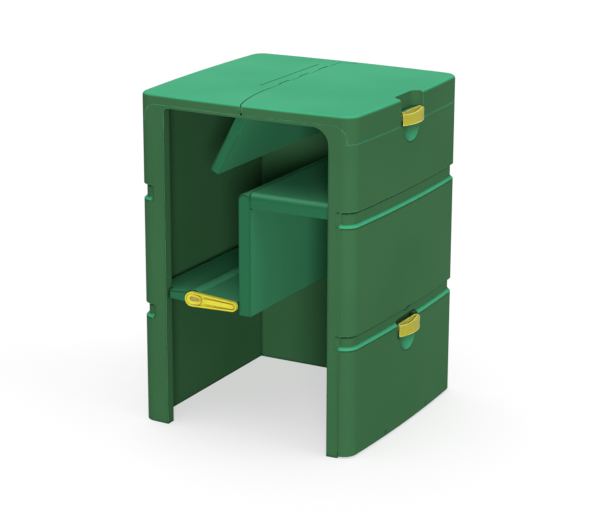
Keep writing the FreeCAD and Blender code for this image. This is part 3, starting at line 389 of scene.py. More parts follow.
@dataclass(frozen=True)
class MouldedPlastic:
    """Satin plastic from a grained mould, with painted light that makes its level faces paler.

    Its colours are those of faces to the sides, level faces (painted light, which the specks
    share), hollows and overhangs (painted shade, which the clouding shares), edges (painted
    highlight) and faces to the front (painted shade). The painted shade and highlight keep off the
    plain planes by the plain span, the painted shadow under an overhang keeps off the roof by the
    roof span, and the painted highlight and shadow start at a distance from the casing's middle.
    """

    name: str
    slot: str
    upright: Colour
    level: Colour
    deep: Colour
    rim: Colour
    front_shade: Colour
    plain_planes: tuple[float, ...] = ()
    plain_span: Span = (3.0 * MM, 5.0 * MM)
    roof_span: Span = (980.0 * MM, 1000.0 * MM)
    painted_light_start: float = 0.0
    painted_light_fade: float = 4.0 * MM
    cloud_share: float = 0.1
    hollow_share: float = 0.75
    speck_share: float = 0.05
    under_shade_share: float = 0.9
    rim_share: float = 0.6
    roughness: float = 0.52
    dulling: float = 0.08
    shine: float = 0.012
    grain_strength: float = 0.3
    grain_depth: float = 0.07 * MM

    def build(self, effects: SharedEffects) -> bpy.types.Material:
        """Make the material.

        Args:
            effects: The shared node groups.

        Returns:
            The material.
        """
        material, graph, shader = new_material(self.name)
        facing = graph.group(effects.facing)
        clouding = graph.group(effects.clouding)
        painted_light = graph.group(effects.painted_light)
        clear, outside, walls = self.reach_of_painted_light(graph)
        # Painted shade: faces to the front take the darker front colour.
        sides = graph.mix(facing["Front"], self.upright, self.front_shade)
        # Painted light: level faces, as the Sky mask finds them, take the paler level colour.
        base = graph.mix(facing["Sky"], sides, self.level)
        patchy = graph.product(clouding["Cloud"], self.cloud_share)
        varied = graph.mix(patchy, base, self.deep)
        # Painted shade in hollows, toward the deep colour.
        shaded = graph.product(painted_light["Hollow"], self.hollow_share, clear)
        hollow_shaded = graph.mix(shaded, varied, self.deep)
        speckled = graph.product(clouding["Specks"], self.speck_share)
        dusted = graph.mix(speckled, hollow_shaded, self.level)
        # Painted shadow under overhangs, on the walls below the roof.
        under_shade = graph.product(painted_light["Under"], self.under_shade_share, walls)
        lined = graph.mix(under_shade, dusted, self.deep)
        # Painted highlight on edges, away from the casing's middle.
        edge_highlit = graph.product(painted_light["Edge"], self.rim_share, outside)
        graph.feed(shader, "Base Color", graph.mix(edge_highlit, lined, self.rim))
        duller = graph.maths("MULTIPLY_ADD", clouding["Cloud"], self.dulling, self.roughness)
        graph.feed(shader, "Roughness", duller)
        grain = graph.group(effects.grain)["Height"]
        graph.feed(shader, "Normal", graph.bump(grain, self.grain_strength, self.grain_depth))
        graph.feed(shader, "Specular IOR Level", self.shine)
        return material

    def reach_of_painted_light(self, graph: Graph) -> tuple[object, object, object]:
        """Find where the painted shade, highlight and shadow show.

        Args:
            graph: The material's graph.

        Returns:
            Three masks: off the plain planes, there and outside, and there and below the roof.
        """
        place = graph.add("ShaderNodeSeparateXYZ", {0: graph.object_place()}).outputs
        clear = 1.0
        for plane in self.plain_planes:
            clear = graph.product(
                clear, graph.steps(graph.distance(place["X"], plane), self.plain_span)
            )
        across = graph.distance(place["X"], MIDDLE_X)
        along = graph.maths("ABSOLUTE", place["Y"])
        farther = graph.maths("MAXIMUM", across, along)
        reached = graph.steps(farther, (self.painted_light_start, self.painted_light_start + self.painted_light_fade))
        outside = graph.product(clear, reached)
        below = graph.lack(graph.steps(place["Z"], self.roof_span))
        return clear, outside, graph.product(outside, below)


@dataclass(frozen=True)
class GlossPlastic:
    """Bright gloss plastic of the handles, with a darker, warmer painted shade in its hollows.

    Its hollow colour is the painted shade, which the clouding shares, and its rim colour the
    painted highlight on its edges.
    """

    name: str
    slot: str
    colour: Colour
    hollow: Colour
    rim: Colour
    cloud_scale: float = 24.0
    cloud_share: float = 0.16
    hollow_reach: float = 7.0 * MM
    hollow_share: float = 0.85
    rim_width: float = 1.4 * MM
    rim_share: float = 0.8
    roughness: float = 0.36
    dulling: float = 0.12
    shine: float = 0.12
    grain_scale: float = 1600.0
    grain_waves: float = 25.0
    grain_strength: float = 0.25
    grain_depth: float = 0.06 * MM

    def build(self, effects: SharedEffects) -> bpy.types.Material:
        """Make the material.

        Args:
            effects: The shared node groups.

        Returns:
            The material.
        """
        material, graph, shader = new_material(self.name)
        cloud = graph.group(effects.clouding, scale=self.cloud_scale)["Cloud"]
        painted_light = graph.group(effects.painted_light, radius=self.rim_width, reach=self.hollow_reach)
        varied = graph.mix(graph.product(cloud, self.cloud_share), self.colour, self.hollow)
        # Painted shade in hollows, toward the hollow colour.
        shaded = graph.product(painted_light["Hollow"], self.hollow_share)
        hollow_shaded = graph.mix(shaded, varied, self.hollow)
        # Painted highlight on edges.
        edge_highlit = graph.product(painted_light["Edge"], self.rim_share)
        graph.feed(shader, "Base Color", graph.mix(edge_highlit, hollow_shaded, self.rim))
        duller = graph.maths("MULTIPLY_ADD", cloud, self.dulling, self.roughness)
        graph.feed(shader, "Roughness", duller)
        grain = graph.group(effects.grain, scale=self.grain_scale, waves=self.grain_waves)
        normal = graph.bump(grain["Height"], self.grain_strength, self.grain_depth)
        graph.feed(shader, "Normal", normal)
        graph.feed(shader, "Specular IOR Level", self.shine)
        return material


@dataclass(frozen=True)
class TurnedSteel:
    """Plain steel rod with fine turning marks round it."""

    name: str
    slot: str
    colour: Colour
    stain: Colour
    cloud_scale: float = 60.0
    stain_share: float = 0.5
    mark_stretch: Point = (1.0, 9.0, 1.0)
    mark_scale: float = 220.0
    mark_strength: float = 0.2
    mark_depth: float = 0.04 * MM
    roughness: float = 0.3
    dulling: float = 0.2

    def build(self, effects: SharedEffects) -> bpy.types.Material:
        """Make the material.

        Args:
            effects: The shared node groups.

        Returns:
            The material.
        """
        material, graph, shader = new_material(self.name)
        cloud = graph.group(effects.clouding, scale=self.cloud_scale)["Cloud"]
        inputs = {"Vector": graph.object_place(), "Scale": self.mark_stretch}
        along = graph.add("ShaderNodeMapping", inputs).outputs["Vector"]
        marks = graph.noise(along, self.mark_scale, detail=3.0)
        stained = graph.product(cloud, self.stain_share)
        graph.feed(shader, "Base Color", graph.mix(stained, self.colour, self.stain))
        duller = graph.maths("MULTIPLY_ADD", marks, self.dulling, self.roughness)
        graph.feed(shader, "Roughness", duller)
        graph.feed(shader, "Metallic", 1.0)
        graph.feed(shader, "Normal", graph.bump(marks, self.mark_strength, self.mark_depth))
        return material


class Finish(Enum):
    """The finishes that the bin's pieces are dressed in."""

    SHELL = MouldedPlastic(
        "green_shell",
        "green_shell",
        upright=linear(57, 101, 65),
        # Level is painted light on level faces, deep the painted shade, rim the painted edge
        # highlight.
        level=linear(66, 170, 124),
        deep=linear(20, 48, 29),
        rim=linear(124, 198, 158),
        front_shade=linear(57, 101, 65),
        plain_planes=SEAM_PLANES,
        painted_light_start=362.0 * MM,
    )
    INSIDE = MouldedPlastic(
        "green_inside",
        "dark_inside",
        upright=linear(66, 144, 102),
        # Level is painted light, deep the painted shade, rim the painted edge highlight, and the
        # last colour a painted shade on faces to the front.
        level=linear(70, 144, 104),
        deep=linear(24, 62, 41),
        rim=linear(70, 144, 106),
        front_shade=linear(40, 102, 69),
    )
    LATCH = GlossPlastic(
        "yellow_latch",
        "yellow_handle",
        colour=linear(162, 157, 46),
        # The hollow colour is painted shade, the rim colour a painted edge highlight.
        hollow=linear(150, 122, 30),
        rim=linear(255, 252, 150),
        hollow_share=0.3,
        rim_width=3.6 * MM,
        rim_share=1.0,
    )
    LEVER = GlossPlastic(
        "yellow_lever",
        "yellow_handle",
        colour=linear(214, 208, 62),
        # The hollow colour is painted shade, the rim colour a painted edge highlight.
        hollow=linear(150, 116, 36),
        rim=linear(242, 246, 112),
    )
    # The plate in the lever's thumb hollow: its ochre colour is painted shade for the hollow.
    REST = GlossPlastic(
        "ochre_pocket_shade",
        "yellow_handle",
        colour=linear(172, 148, 84),
        hollow=linear(140, 112, 58),
        rim=linear(190, 168, 96),
        roughness=0.5,
        shine=0.1,
    )
    STEEL = TurnedSteel(
        "steel_pin", "steel_pin", colour=linear(176, 178, 174), stain=linear(120, 122, 118)
    )


def select_only(piece: bpy.types.Object) -> None:
    """Deselect everything and make one piece selected and active.

    Args:
        piece: The piece.
    """
    bpy.ops.object.select_all(action="DESELECT")
    piece.select_set(True)
    bpy.context.view_layer.objects.active = piece


def open_edit(piece: bpy.types.Object, mode: str, action: str) -> None:
    """Open a piece in edit mode.

    Args:
        piece: The piece.
        mode: Which elements are selected: VERT, EDGE or FACE.
        action: SELECT for all of them, or DESELECT for none.
    """
    select_only(piece)
    bpy.ops.object.mode_set(mode="EDIT")
    bpy.ops.mesh.select_mode(type=mode)
    bpy.ops.mesh.select_all(action=action)


def close_edit() -> None:
    """Go back to object mode."""
    bpy.ops.object.mode_set(mode="OBJECT")


def pick_vertices(piece: bpy.types.Object, wanted: Callable[[Vector], bool]) -> None:
    """Open a piece in edit mode with only the wanted vertices selected.

    Args:
        piece: The piece.
        wanted: Tells from a vertex's place whether it is wanted.
    """
    open_edit(piece, "VERT", "DESELECT")
    close_edit()
    for vertex in piece.data.vertices:
        vertex.select = wanted(vertex.co)
    bpy.ops.object.mode_set(mode="EDIT")


def pick_front(piece: bpy.types.Object) -> None:
    """Open a piece in edit mode with only the faces that look to the front selected.

    Args:
        piece: The piece.
    """
    open_edit(piece, "FACE", "DESELECT")
    close_edit()
    for face in piece.data.polygons:
        face.select = face.normal.y < FRONT_LIMIT
    bpy.ops.object.mode_set(mode="EDIT")


def sink_front(depth: float) -> None:
    """Extrude the selected front faces backwards."""
    bpy.ops.mesh.extrude_region_move(TRANSFORM_OT_translate={"value": (0.0, depth, 0.0)})


def settle(piece: bpy.types.Object) -> None:
    """Move a piece's place, turn and scale into its mesh."""
    select_only(piece)
    bpy.ops.object.transform_apply(location=True, rotation=True, scale=True)


def soften(
    piece: bpy.types.Object,
    width: float,
    segments: int = 2,
    keep: Callable[[Vector], bool] | None = None,
) -> None:
    """Round a piece's sharp edges and shade it smooth.

    Args:
        piece: The piece, whose mesh is closed.
        width: Width of the rounding, in metres.
        segments: How many facets the rounding has.
        keep: Tells from an edge's middle whether it stays sharp.
    """
    open_edit(piece, "EDGE", "DESELECT")
    bpy.ops.mesh.edges_select_sharp(sharpness=SHARP_ANGLE)
    close_edit()
    mesh = piece.data
    weights = mesh.attributes.new("bevel_weight_edge", "FLOAT", "EDGE")
    for edge in mesh.edges:
        middle = (mesh.vertices[edge.vertices[0]].co + mesh.vertices[edge.vertices[1]].co) / 2
        rounded = edge.select and not (keep and keep(middle))
        weights.data[edge.index].value = 1.0 if rounded else 0.0
    select_only(piece)
    bevel = piece.modifiers.new("edges", "BEVEL")
    bevel.width = width
    bevel.segments = segments
    bevel.limit_method = "WEIGHT"
    bevel.use_clamp_overlap = True
    bpy.ops.object.modifier_apply(modifier=bevel.name)
    bpy.ops.object.shade_smooth_by_angle(angle=SHARP_ANGLE)
    even = piece.modifiers.new("even_shading", "WEIGHTED_NORMAL")
    even.keep_sharp = True
    bpy.ops.object.modifier_apply(modifier=even.name)


def turn_edge(edge: bmesh.types.BMEdge) -> bool:
    """Turn the edge between two triangles into the other diagonal, if that folds nothing over.

    Args:
        edge: The edge.

    Returns:
        True if the edge was turned.
    """
    first, second = edge.link_faces
    start, end = edge.verts
    left = next(vertex for vertex in first.verts if vertex not in edge.verts).co
    right = next(vertex for vertex in second.verts if vertex not in edge.verts).co
    outward = first.normal + second.normal
    across = right - left
    ahead = across.cross(start.co - left).dot(outward)
    behind = (end.co - left).cross(across).dot(outward)
    if ahead * behind <= 0.0:
        return False
    turned = bmesh.utils.edge_rotate(edge, True)
    if turned is None:
        return False
    for face in turned.link_faces:
        face.normal_update()
    return True


def fill_out(piece: bpy.types.Object, lowest: float) -> None:
    """Turn the dented edges of a roof's rounding, so that its facets follow the curve.

    Args:
        piece: The roof piece, made of triangles.
        lowest: Height at which the rounding starts.
    """

    def on_rounding(face: bmesh.types.BMFace) -> bool:
        """Tell whether a face is on the rounding."""
        slanted = SLANTED[0] < face.normal.z < SLANTED[1]
        return slanted and min(vertex.co.z for vertex in face.verts) > lowest

    def dented(edge: bmesh.types.BMEdge) -> bool:
        """Tell whether an edge makes a dent in the rounding.

        Args:
            edge: The edge.

        Returns:
            True if it does.
        """
        faces = edge.link_faces
        joined = len(faces) == 2 and all(on_rounding(face) for face in faces)
        return joined and not edge.is_convex and edge.calc_face_angle() > DENT_ANGLE

    shape = bmesh.new()
    shape.from_mesh(piece.data)
    turned = 1
    while turned:
        dents = [edge for edge in shape.edges if dented(edge)]
        turned = sum(edge.is_valid and dented(edge) and turn_edge(edge) for edge in dents)
    shape.to_mesh(piece.data)
    shape.free()


def copy_piece(
    piece: bpy.types.Object, name: str, step: Point = (0.0, 0.0, 0.0)
) -> bpy.types.Object:
    """Copy a piece with its own mesh.

    Args:
        piece: The piece.
        name: The copy's name.
        step: How far the copy's mesh is moved.

    Returns:
        The copy.
    """
    twin = bpy.data.objects.new(name, piece.data.copy())
    bpy.context.scene.collection.objects.link(twin)
    twin.data.transform(Matrix.Translation(step))
    return twin


def join(pieces: list[bpy.types.Object], name: str) -> bpy.types.Object:
    """Join pieces into the first one.

    Args:
        pieces: The pieces.
        name: The new piece's name.

    Returns:
        The new piece.
    """
    select_only(pieces[0])
    for piece in pieces[1:]:
        piece.select_set(True)
    bpy.ops.object.join()
    pieces[0].name = name
    return pieces[0]


def add_disc(
    name: str, front: Vector, radius: float, depth: float, corners: int
) -> bpy.types.Object:
    """Add a round disc that looks to the front.

    Args:
        name: The piece's name.
        front: Centre of its front face.
        radius: Its radius.
        depth: Its thickness behind the front face.
        corners: How many corners its outline has.

    Returns:
        The piece, with its place in its mesh.
    """
    bpy.ops.mesh.primitive_cylinder_add(
        vertices=corners,
        radius=radius,
        depth=depth,
        location=(front.x, front.y + depth / 2, front.z),
        rotation=(math.radians(90.0), 0.0, 0.0),
    )
    disc = bpy.context.active_object
    disc.name = name
    settle(disc)
    return disc


def add_long_disc(
    name: str, start: Vector, end: Vector, radii: tuple[float, float], depth: float
) -> bpy.types.Object:
    """Draw a round disc out into a long one with a round end of another radius.

    Args:
        name: The piece's name.
        start: Centre of the disc's front face.
        end: Centre of the drawn out end.
        radii: Radius at the start and at the end.
        depth: Thickness behind the front face.

    Returns:
        The piece, with its place in its mesh.
    """
    piece = add_disc(name, start, radii[0], depth, corners=64)
    pick_vertices(piece, lambda place: place.x > start.x + MARGIN)
    bpy.ops.transform.translate(value=end - start)
    share = radii[1] / radii[0]
    bpy.ops.transform.resize(value=(share, 1.0, share), center_override=end)
    close_edit()
    return piece


class Workshop:
    """Holds the frame and the finishes, and dresses pieces with them."""

    def __init__(self, frame: dict) -> None:
        """Build every finish once.
        """
        self.nodes = frame["nodes"]
        effects = SharedEffects()
        self.materials = {finish: finish.value.build(effects) for finish in Finish}

    def dress(self, piece: bpy.types.Object, finish: Finish) -> None:
        """Give a piece one finish all over."""
        piece.data.materials.clear()
        piece.data.materials.append(self.materials[finish])

    def fit(self, piece: bpy.types.Object, body: str, finish: Finish) -> None:
        """Dress a new piece and let it move with a body.

        Args:
            piece: The piece.
            body: The body's name.
            finish: The piece's finish.
        """
        self.dress(piece, finish)
        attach(piece, body)
        log.info("added %s to %s", piece.name, body)

    def dress_node(self, node: str, finish: Finish) -> None:
        """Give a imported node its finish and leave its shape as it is."""
        self.dress(self.nodes[node], finish)
        log.info("dressed %s", node)

    def soften_node(
        self,
        node: str,
        finish: Finish,
        width: float,
        segments: int = 2,
        keep: Callable[[Vector], bool] | None = None,
        rounding: float | None = None,
    ) -> None:
        """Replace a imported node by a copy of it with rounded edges.

        Args:
            node: The node's name.
            finish: The copy's finish.
            width: Width of the rounding, in metres.
            segments: How many facets the rounding has.
            keep: Tells from an edge's middle whether it stays sharp.
            rounding: Height above which the node has a roof's rounding, which is filled out.
        """
        source = self.nodes[node]
        piece = copy_piece(source, f"{node}_soft")
        open_edit(piece, "FACE", "SELECT")
        bpy.ops.mesh.customdata_custom_splitnormals_clear()
        bpy.ops.mesh.remove_doubles(threshold=SAME_PLACE)
        close_edit()
        if rounding is not None:
            fill_out(piece, rounding)
        open_edit(piece, "FACE", "SELECT")
        bpy.ops.mesh.dissolve_limited(angle_limit=SAME_PLANE)
        close_edit()
        soften(piece, width, segments, keep=keep)
        self.fit(piece, source["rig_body"], finish)
        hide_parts(node)


@dataclass
class Casing:
    """The fixed shell: frame, side tiers, back, half of the roof and the inner walls."""

    panel_edge: float = 1.2 * MM
    opening_edge: float = 4.0 * MM
    wall_edge: float = 3.0 * MM
    rail_edge: float = 2.0 * MM
    panels: tuple[str, ...] = (
        "back_panel",
        "left_lower_panel",
        "left_middle_panel",
        "left_upper_panel",
        "right_middle_panel",
        "right_upper_panel",
    )
    pins: tuple[str, ...] = ("swing_flap_pin", "lid_hinge_pin", "door_hinge_pins")
    tier_levels: tuple[float, float] = (403.0 * MM, 801.0 * MM)
    inner_half: float = 356.0 * MM
    level_reach: float = 3.0 * MM
    plane_reach: float = 0.2 * MM

    def on_tight_joint(self, place: Vector) -> bool:
        """Tell whether an edge is on a joint that shows no groove.

        Args:
            place: The middle of the edge.

        Returns:
            True on the upright joints beside the end walls, and on the inner joints of the tiers.
        """
        if any(abs(place.x - plane) < self.plane_reach for plane in SEAM_PLANES):
            return True
        between = any(abs(place.z - level) < self.level_reach for level in self.tier_levels)
        return between and abs(place.x - MIDDLE_X) < self.inner_half

    def build(self, workshop: Workshop) -> None:
        """Soften and dress the casing's nodes.

        Args:
            workshop: The workshop that holds the frame and the finishes.
        """
        keep = self.on_tight_joint
        workshop.soften_node("front_frame", Finish.SHELL, self.opening_edge, segments=3, keep=keep)
        for panel in self.panels:
            workshop.soften_node(panel, Finish.SHELL, self.panel_edge, keep=keep)
        workshop.soften_node("fixed_roof", Finish.SHELL, self.panel_edge, rounding=ROOF_ROUNDING)
        workshop.soften_node("door_sill", Finish.SHELL, self.rail_edge)
        for wall in ("partition_wall", "chamber_shelf"):
            workshop.soften_node(wall, Finish.INSIDE, self.wall_edge, segments=3)
        for rail in ("shelf_rail", "flap_stop_rail"):
            workshop.soften_node(rail, Finish.INSIDE, self.rail_edge)
        workshop.dress_node("flap_shaft_bush", Finish.INSIDE)
        for pin in self.pins:
            workshop.dress_node(pin, Finish.STEEL)


@dataclass
class Lid:
    """The hinged half of the roof with its skirt."""

    edge: float = 1.4 * MM

    def build(self, workshop: Workshop) -> None:
        """Soften and dress the lid's nodes."""
        workshop.soften_node("lid_shell", Finish.SHELL, self.edge, rounding=ROOF_ROUNDING)
        workshop.dress_node("lid_latch_pin", Finish.STEEL)


@dataclass
class Door:
    """The removal door at the foot of the right side."""

    edge: float = 1.4 * MM

    def build(self, workshop: Workshop) -> None:
        """Soften and dress the door's nodes."""
        workshop.soften_node("door_shell", Finish.SHELL, self.edge)
        workshop.dress_node("door_latch_pin", Finish.STEEL)


@dataclass
class Latches:
    """The two yellow latches, alike but for their height."""

    edge: float = 1.0 * MM
    rib_width: float = 1.8 * MM
    rib_height: float = 3.4 * MM
    rib_slope: float = 1.6 * MM
    rib_spacing: float = 13.0 * MM
    rib_edge: float = 0.5 * MM
    rib_count: int = 4
    first_rib: float = -46.0 * MM
    tray_back: float = 380.2 * MM
    tray_front: float = 390.3 * MM
    tray_floor: float = 1037.0 * MM

    def build(self, workshop: Workshop) -> None:
        """Soften both latches and lay ribs in their trays.

        Args:
            workshop: The workshop that holds the frame and the finishes.
        """
        for node in ("lid_latch", "door_latch"):
            workshop.soften_node(node, Finish.LATCH, self.edge)
        ribs = self.build_ribs()
        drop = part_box("door_latch")[0].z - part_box("lid_latch")[0].z
        twin = copy_piece(ribs, "door_latch_ribs", (0.0, 0.0, drop))
        workshop.fit(ribs, "lid_latch", Finish.LATCH)
        workshop.fit(twin, "door_latch", Finish.LATCH)

    def build_ribs(self) -> bpy.types.Object:
        """Model one rib across the tray, lower at its front, and copy it along.

        Returns:
            The ribs of the lid's latch, as one piece.
        """
        middle = (self.tray_back + self.tray_front) / 2
        top = self.tray_floor + self.rib_height
        bpy.ops.mesh.primitive_cube_add(
            size=1.0, location=(middle, self.first_rib, self.tray_floor + self.rib_height / 2)
        )
        rib = bpy.context.active_object
        rib.scale = (self.tray_front - self.tray_back, self.rib_width, self.rib_height)
        settle(rib)
        pick_vertices(rib, lambda place: place.z > top - MARGIN and place.x > middle)
        bpy.ops.transform.translate(value=(0.0, 0.0, -self.rib_slope))
        close_edit()
        soften(rib, self.rib_edge)
        ribs = [rib]
        for count in range(1, self.rib_count):
            ribs.append(copy_piece(rib, "rib", (0.0, self.rib_spacing * count, 0.0)))
        return join(ribs, "lid_latch_ribs")


@dataclass
class SwingFlap:
    """The hanging flap under the roof, and the cap on the front end of its pin."""

    edge: float = 2.0 * MM
    cap_radius: float = 5.2 * MM
    cap_rim: float = 1.8 * MM
    cap_reach: float = 1.2 * MM
    cap_dome: float = 0.9 * MM
    cap_edge: float = 0.5 * MM

    def build(self, workshop: Workshop) -> None:
        """Soften the flap and close its pin with a cap."""
        workshop.soften_node("swing_flap", Finish.INSIDE, self.edge)
        workshop.fit(self.build_cap(), "casing", Finish.INSIDE)

    def build_cap(self) -> bpy.types.Object:
        """Model the low domed cap on the pin's front end.

        Returns:
            The cap.
        """
        low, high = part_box("swing_flap_pin")
        middle = (low + high) / 2
        front = Vector((middle.x, low.y - self.cap_reach, middle.z))
        cap = add_disc("swing_pin_cap", front, self.cap_radius, self.cap_reach, corners=32)
        pick_front(cap)
        bpy.ops.mesh.inset(thickness=self.cap_rim)
        bpy.ops.transform.translate(value=(0.0, -self.cap_dome, 0.0))
        close_edit()
        soften(cap, self.cap_edge)
        return cap


@dataclass
class FloorFlap:
    """The turning floor flap with its shaft, and the yellow lever on its front end."""

    blade_edge: float = 1.5 * MM
    lever_edge: float = 1.2 * MM
    hub_radius: float = 24.0 * MM
    tip_radius: float = 16.0 * MM
    reach: float = 149.0 * MM
    droop: float = 3.0 * MM
    rim: float = 5.0 * MM
    channel_depth: float = 6.5 * MM
    channel_draft: float = 0.97
    bar_start: float = 39.0 * MM
    bar_end: float = 149.0 * MM
    bar_radius: float = 8.2 * MM
    bar_taper: float = 0.96
    bar_height: float = 5.4 * MM
    bar_edge: float = 2.2 * MM
    pad_radius: float = 18.2 * MM
    pad_taper: float = 0.86
    pad_end: float = 34.0 * MM
    pad_height: float = 4.6 * MM
    pad_edge: float = 0.9 * MM
    pocket_rim: float = 7.0 * MM
    pocket_depth: float = 4.0 * MM
    pocket_shift: Point = (3.5 * MM, 0.0, 1.5 * MM)
    pocket_squash: float = 0.72
    # The plate whose ochre colour paints the shade in the thumb hollow.
    plate_gap: float = 0.4 * MM
    plate_height: float = 1.2 * MM
    plate_rim: float = 1.6 * MM
    plate_dish: float = 0.48 * MM
    plate_edge: float = 0.3 * MM

    def build(self, workshop: Workshop) -> None:
        """Soften the flap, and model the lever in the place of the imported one.

        Args:
            workshop: The workshop that holds the frame and the finishes.
        """
        workshop.soften_node("floor_flap", Finish.INSIDE, self.blade_edge)
        workshop.dress_node("flap_shaft", Finish.STEEL)
        lever = self.build_lever()
        workshop.fit(lever, "floor_flap", Finish.LEVER)
        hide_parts("flap_lever")
        # An ochre plate in the thumb hollow paints its shade.
        workshop.fit(self.build_shade_plate(), "floor_flap", Finish.REST)

    def lever_line(self, behind: float = 0.0) -> tuple[Vector, Vector]:
        """Find the lever's middle line.

        Args:
            behind: How far behind the lever's front face it is.

        Returns:
            The centre of the hub and the way from there to the centre of the tip.
        """
        low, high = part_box("flap_shaft")
        middle = (low + high) / 2
        hub = Vector((middle.x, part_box("flap_lever")[0].y + behind, middle.z))
        return hub, Vector((self.reach, 0.0, -self.droop))

    def pad_radii(self, inset: float = 0.0) -> tuple[float, float]:
        """Give the radii of the pad's two ends, less an inset."""
        return self.pad_radius - inset, self.pad_radius * self.pad_taper - inset

    def build_lever(self) -> bpy.types.Object:
        """Model the lever: a dished body, a grip bar and a pad with a thumb hollow.

        Returns:
            The lever, as one piece.
        """
        low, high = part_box("flap_lever")
        hub, line = self.lever_line()
        radii = (self.hub_radius, self.tip_radius)
        body = add_long_disc("lever_body", hub, hub + line, radii, high.y - low.y)
        pick_front(body)
        bpy.ops.mesh.inset(thickness=self.rim)
        sink_front(self.channel_depth)
        bpy.ops.transform.resize(value=(1.0, 1.0, self.channel_draft))
        close_edit()
        soften(body, self.lever_edge, segments=3)
        return join([body, self.build_bar(), self.build_pad()], "floor_flap_lever")

    def build_bar(self) -> bpy.types.Object:
        """Model the round-ended grip bar on the channel's floor.

        Returns:
            The bar.
        """
        hub, line = self.lever_line(self.channel_depth - self.bar_height)
        along = line.normalized()
        start = hub + along * (self.bar_start + self.bar_radius)
        end = hub + along * self.bar_end
        radii = (self.bar_radius, self.bar_radius * self.bar_taper)
        bar = add_long_disc("grip_bar", start, end, radii, self.bar_height)
        soften(bar, self.bar_edge, segments=4)
        return bar

    def build_pad(self) -> bpy.types.Object:
        """Model the pad round the hub with its thumb hollow.

        Returns:
            The pad.
        """
        hub, line = self.lever_line(self.channel_depth - self.pad_height)
        radii = self.pad_radii()
        end = hub + line.normalized() * (self.pad_end - radii[1])
        pad = add_long_disc("hub_pad", hub, end, radii, self.pad_height)
        pick_front(pad)
        bpy.ops.mesh.inset(thickness=self.pocket_rim)
        bpy.ops.transform.translate(value=self.pocket_shift)
        centre = hub + Vector(self.pocket_shift)
        bpy.ops.transform.resize(value=(1.0, 1.0, self.pocket_squash), center_override=centre)
        sink_front(self.pocket_depth)
        close_edit()
        soften(pad, self.pad_edge, segments=3)
        return pad

    def build_shade_plate(self) -> bpy.types.Object:
        """Model a thin plate with a raised rim in the hollow, whose ochre finish paints the
        hollow's shade.

        Returns:
            The plate.
        """
        pocket_floor = self.channel_depth - self.pad_height + self.pocket_depth
        hub, line = self.lever_line(pocket_floor - self.plate_height)
        start = hub + Vector(self.pocket_shift)
        end = start + line.normalized() * (self.pad_end - self.pad_radii()[1])
        radii = self.pad_radii(inset=self.pocket_rim + self.plate_gap)
        shade_plate = add_long_disc("lever_pocket_shade_plate", start, end, radii, self.plate_height)
        open_edit(shade_plate, "VERT", "SELECT")
        bpy.ops.transform.resize(value=(1.0, 1.0, self.pocket_squash), center_override=start)
        close_edit()
        pick_front(shade_plate)
        bpy.ops.mesh.inset(thickness=self.plate_rim)
        bpy.ops.transform.translate(value=(0.0, self.plate_dish, 0.0))
        close_edit()
        soften(shade_plate, self.plate_edge)
        return shade_plate


def toward(azimuth: float, elevation: float) -> Vector:
    """Give the direction out to a place.

    Args:
        azimuth: Where the place is round the bin, in degrees from the front to the right.
        elevation: How high it is, in degrees.

    Returns:
        The direction, as a vector of length 1.
    """
    turn = math.radians(azimuth)
    rise = math.radians(elevation)
    flat = math.cos(rise)
    return Vector((math.sin(turn) * flat, -math.cos(turn) * flat, math.sin(rise)))


@dataclass(frozen=True)
class Lamp:
    """A far, broad lamp that lights everything alike.

    The azimuth and the elevation say where it stands, and the spread how wide it is seen from the
    bin, all in degrees. The strength is in watts per square metre.
    """

    name: str
    azimuth: float
    elevation: float
    strength: float
    spread: float
    distance: float = 6.0

    def build(self) -> None:
        """Add the lamp to the scene."""
        data = bpy.data.lights.new(self.name, "SUN")
        data.energy = self.strength
        data.angle = math.radians(self.spread)
        lamp = bpy.data.objects.new(self.name, data)
        bpy.context.scene.collection.objects.link(lamp)
        outward = toward(self.azimuth, self.elevation)
        lamp.location = outward * self.distance
        lamp.rotation_euler = (-outward).to_track_quat("-Z", "Y").to_euler()


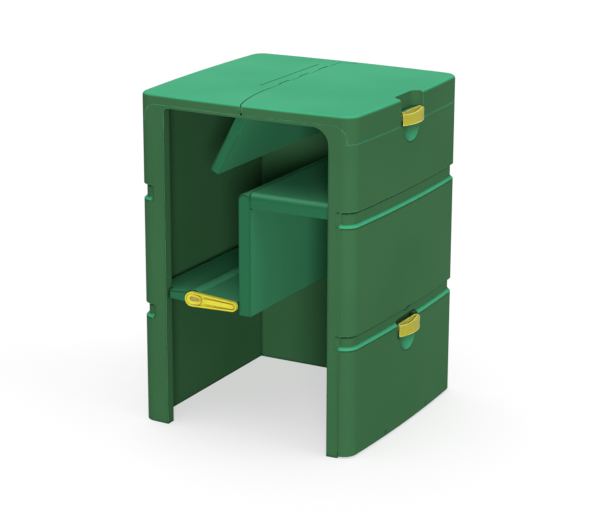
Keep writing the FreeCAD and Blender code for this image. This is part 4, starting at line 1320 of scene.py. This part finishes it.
@dataclass
class Studio:
    """The camera of the photograph, a pale floor and soft light."""

    azimuth: float = 28.458
    elevation: float = 16.641
    roll: float = 0.19
    camera_place: Point = (3.10769, -5.76659, 2.4499)
    focal_pixels: float = 2068.22
    frame_width: int = 600
    sensor: float = 36.0
    view_depth: float = 100.0
    floor_size: float = 60.0
    floor_tone: float = 0.45
    floor_lift: float = 0.57
    floor_roughness: float = 0.9
    sky_strength: float = 0.4
    lamps: tuple[Lamp, ...] = (
        Lamp("overhead", azimuth=10.0, elevation=80.0, strength=1.1, spread=60.0),
        Lamp("front", azimuth=30.0, elevation=7.0, strength=2.4, spread=14.0),
        Lamp("right", azimuth=100.0, elevation=30.0, strength=0.7, spread=50.0),
        Lamp("back", azimuth=225.0, elevation=35.0, strength=0.6, spread=70.0),
    )

    def build(self) -> None:
        """Make the camera, the floor, the world and the lamps."""
        self.add_camera()
        self.add_floor()
        self.add_world()
        for lamp in self.lamps:
            lamp.build()
        bpy.context.scene.view_settings.view_transform = "Standard"

    def add_camera(self) -> None:
        """Place the camera by its azimuth, elevation and roll."""
        turn = math.radians(self.azimuth)
        lean = math.radians(self.roll)
        forward = -toward(self.azimuth, self.elevation)
        level = Vector((math.cos(turn), math.sin(turn), 0.0))
        upright = level.cross(forward)
        right = level * math.cos(lean) + upright * math.sin(lean)
        up = upright * math.cos(lean) - level * math.sin(lean)
        data = bpy.data.cameras.new("photo_camera")
        data.sensor_width = self.sensor
        data.lens = self.focal_pixels / self.frame_width * self.sensor
        data.clip_end = self.view_depth
        camera = bpy.data.objects.new("photo_camera", data)
        bpy.context.scene.collection.objects.link(camera)
        axes = Matrix((right, up, -forward)).transposed().to_4x4()
        camera.matrix_world = Matrix.Translation(self.camera_place) @ axes
        bpy.context.scene.camera = camera

    def seen_rays(self, graph: Graph) -> bpy.types.NodeSocket:
        """Find the rays that show a backdrop: camera, glossy and transmission rays.

        Args:
            graph: The graph that the mask goes into.

        Returns:
            The mask, which is 1 for them.
        """
        rays = graph.add("ShaderNodeLightPath").outputs
        shown = graph.maths("MAXIMUM", rays["Is Camera Ray"], rays["Is Glossy Ray"])
        return graph.maths("MAXIMUM", shown, rays["Is Transmission Ray"])

    def add_floor(self) -> None:
        """Lay a pale floor that is seen as white and keeps the bin's shadow."""
        bpy.ops.mesh.primitive_plane_add(size=self.floor_size)
        floor = bpy.context.active_object
        floor.name = "floor"
        material, graph, shader = new_material("pale_floor")
        graph.feed(shader, "Base Color", (self.floor_tone,) * 3)
        graph.feed(shader, "Roughness", self.floor_roughness)
        graph.feed(shader, "Specular IOR Level", 0.0)
        lift = graph.product(self.seen_rays(graph), self.floor_lift)
        glow = graph.add("ShaderNodeEmission", {"Color": WHITE, "Strength": lift})
        both = graph.add("ShaderNodeAddShader", {0: shader.outputs[0], 1: glow.outputs[0]})
        graph.feed(material.node_tree.nodes["Material Output"], "Surface", both.outputs[0])
        floor.data.materials.append(material)

    def add_world(self) -> None:
        """Light the scene evenly, and show a white background."""
        world = bpy.data.worlds.new("soft_sky")
        world.use_nodes = True
        graph = Graph(world.node_tree)
        lit = world.node_tree.nodes["Background"]
        graph.feed(lit, "Color", WHITE)
        graph.feed(lit, "Strength", self.sky_strength)
        seen = graph.add("ShaderNodeBackground", {"Color": WHITE, "Strength": 1.0})
        shares = {0: self.seen_rays(graph), 1: lit.outputs[0], 2: seen.outputs[0]}
        both = graph.add("ShaderNodeMixShader", shares)
        graph.feed(world.node_tree.nodes["World Output"], "Surface", both.outputs[0])
        bpy.context.scene.world = world


def main() -> None:
    """Dress the frame, add the details and light the scene."""
    logging.basicConfig(level=logging.INFO, format="%(name)s: %(message)s")
    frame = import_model()
    workshop = Workshop(frame)
    for assembly in (Casing(), Lid(), Door(), Latches(), SwingFlap(), FloorFlap()):
        assembly.build(workshop)
        log.info("built %s", type(assembly).__name__)
    Studio().build()


if __name__ == "__main__":
    main()
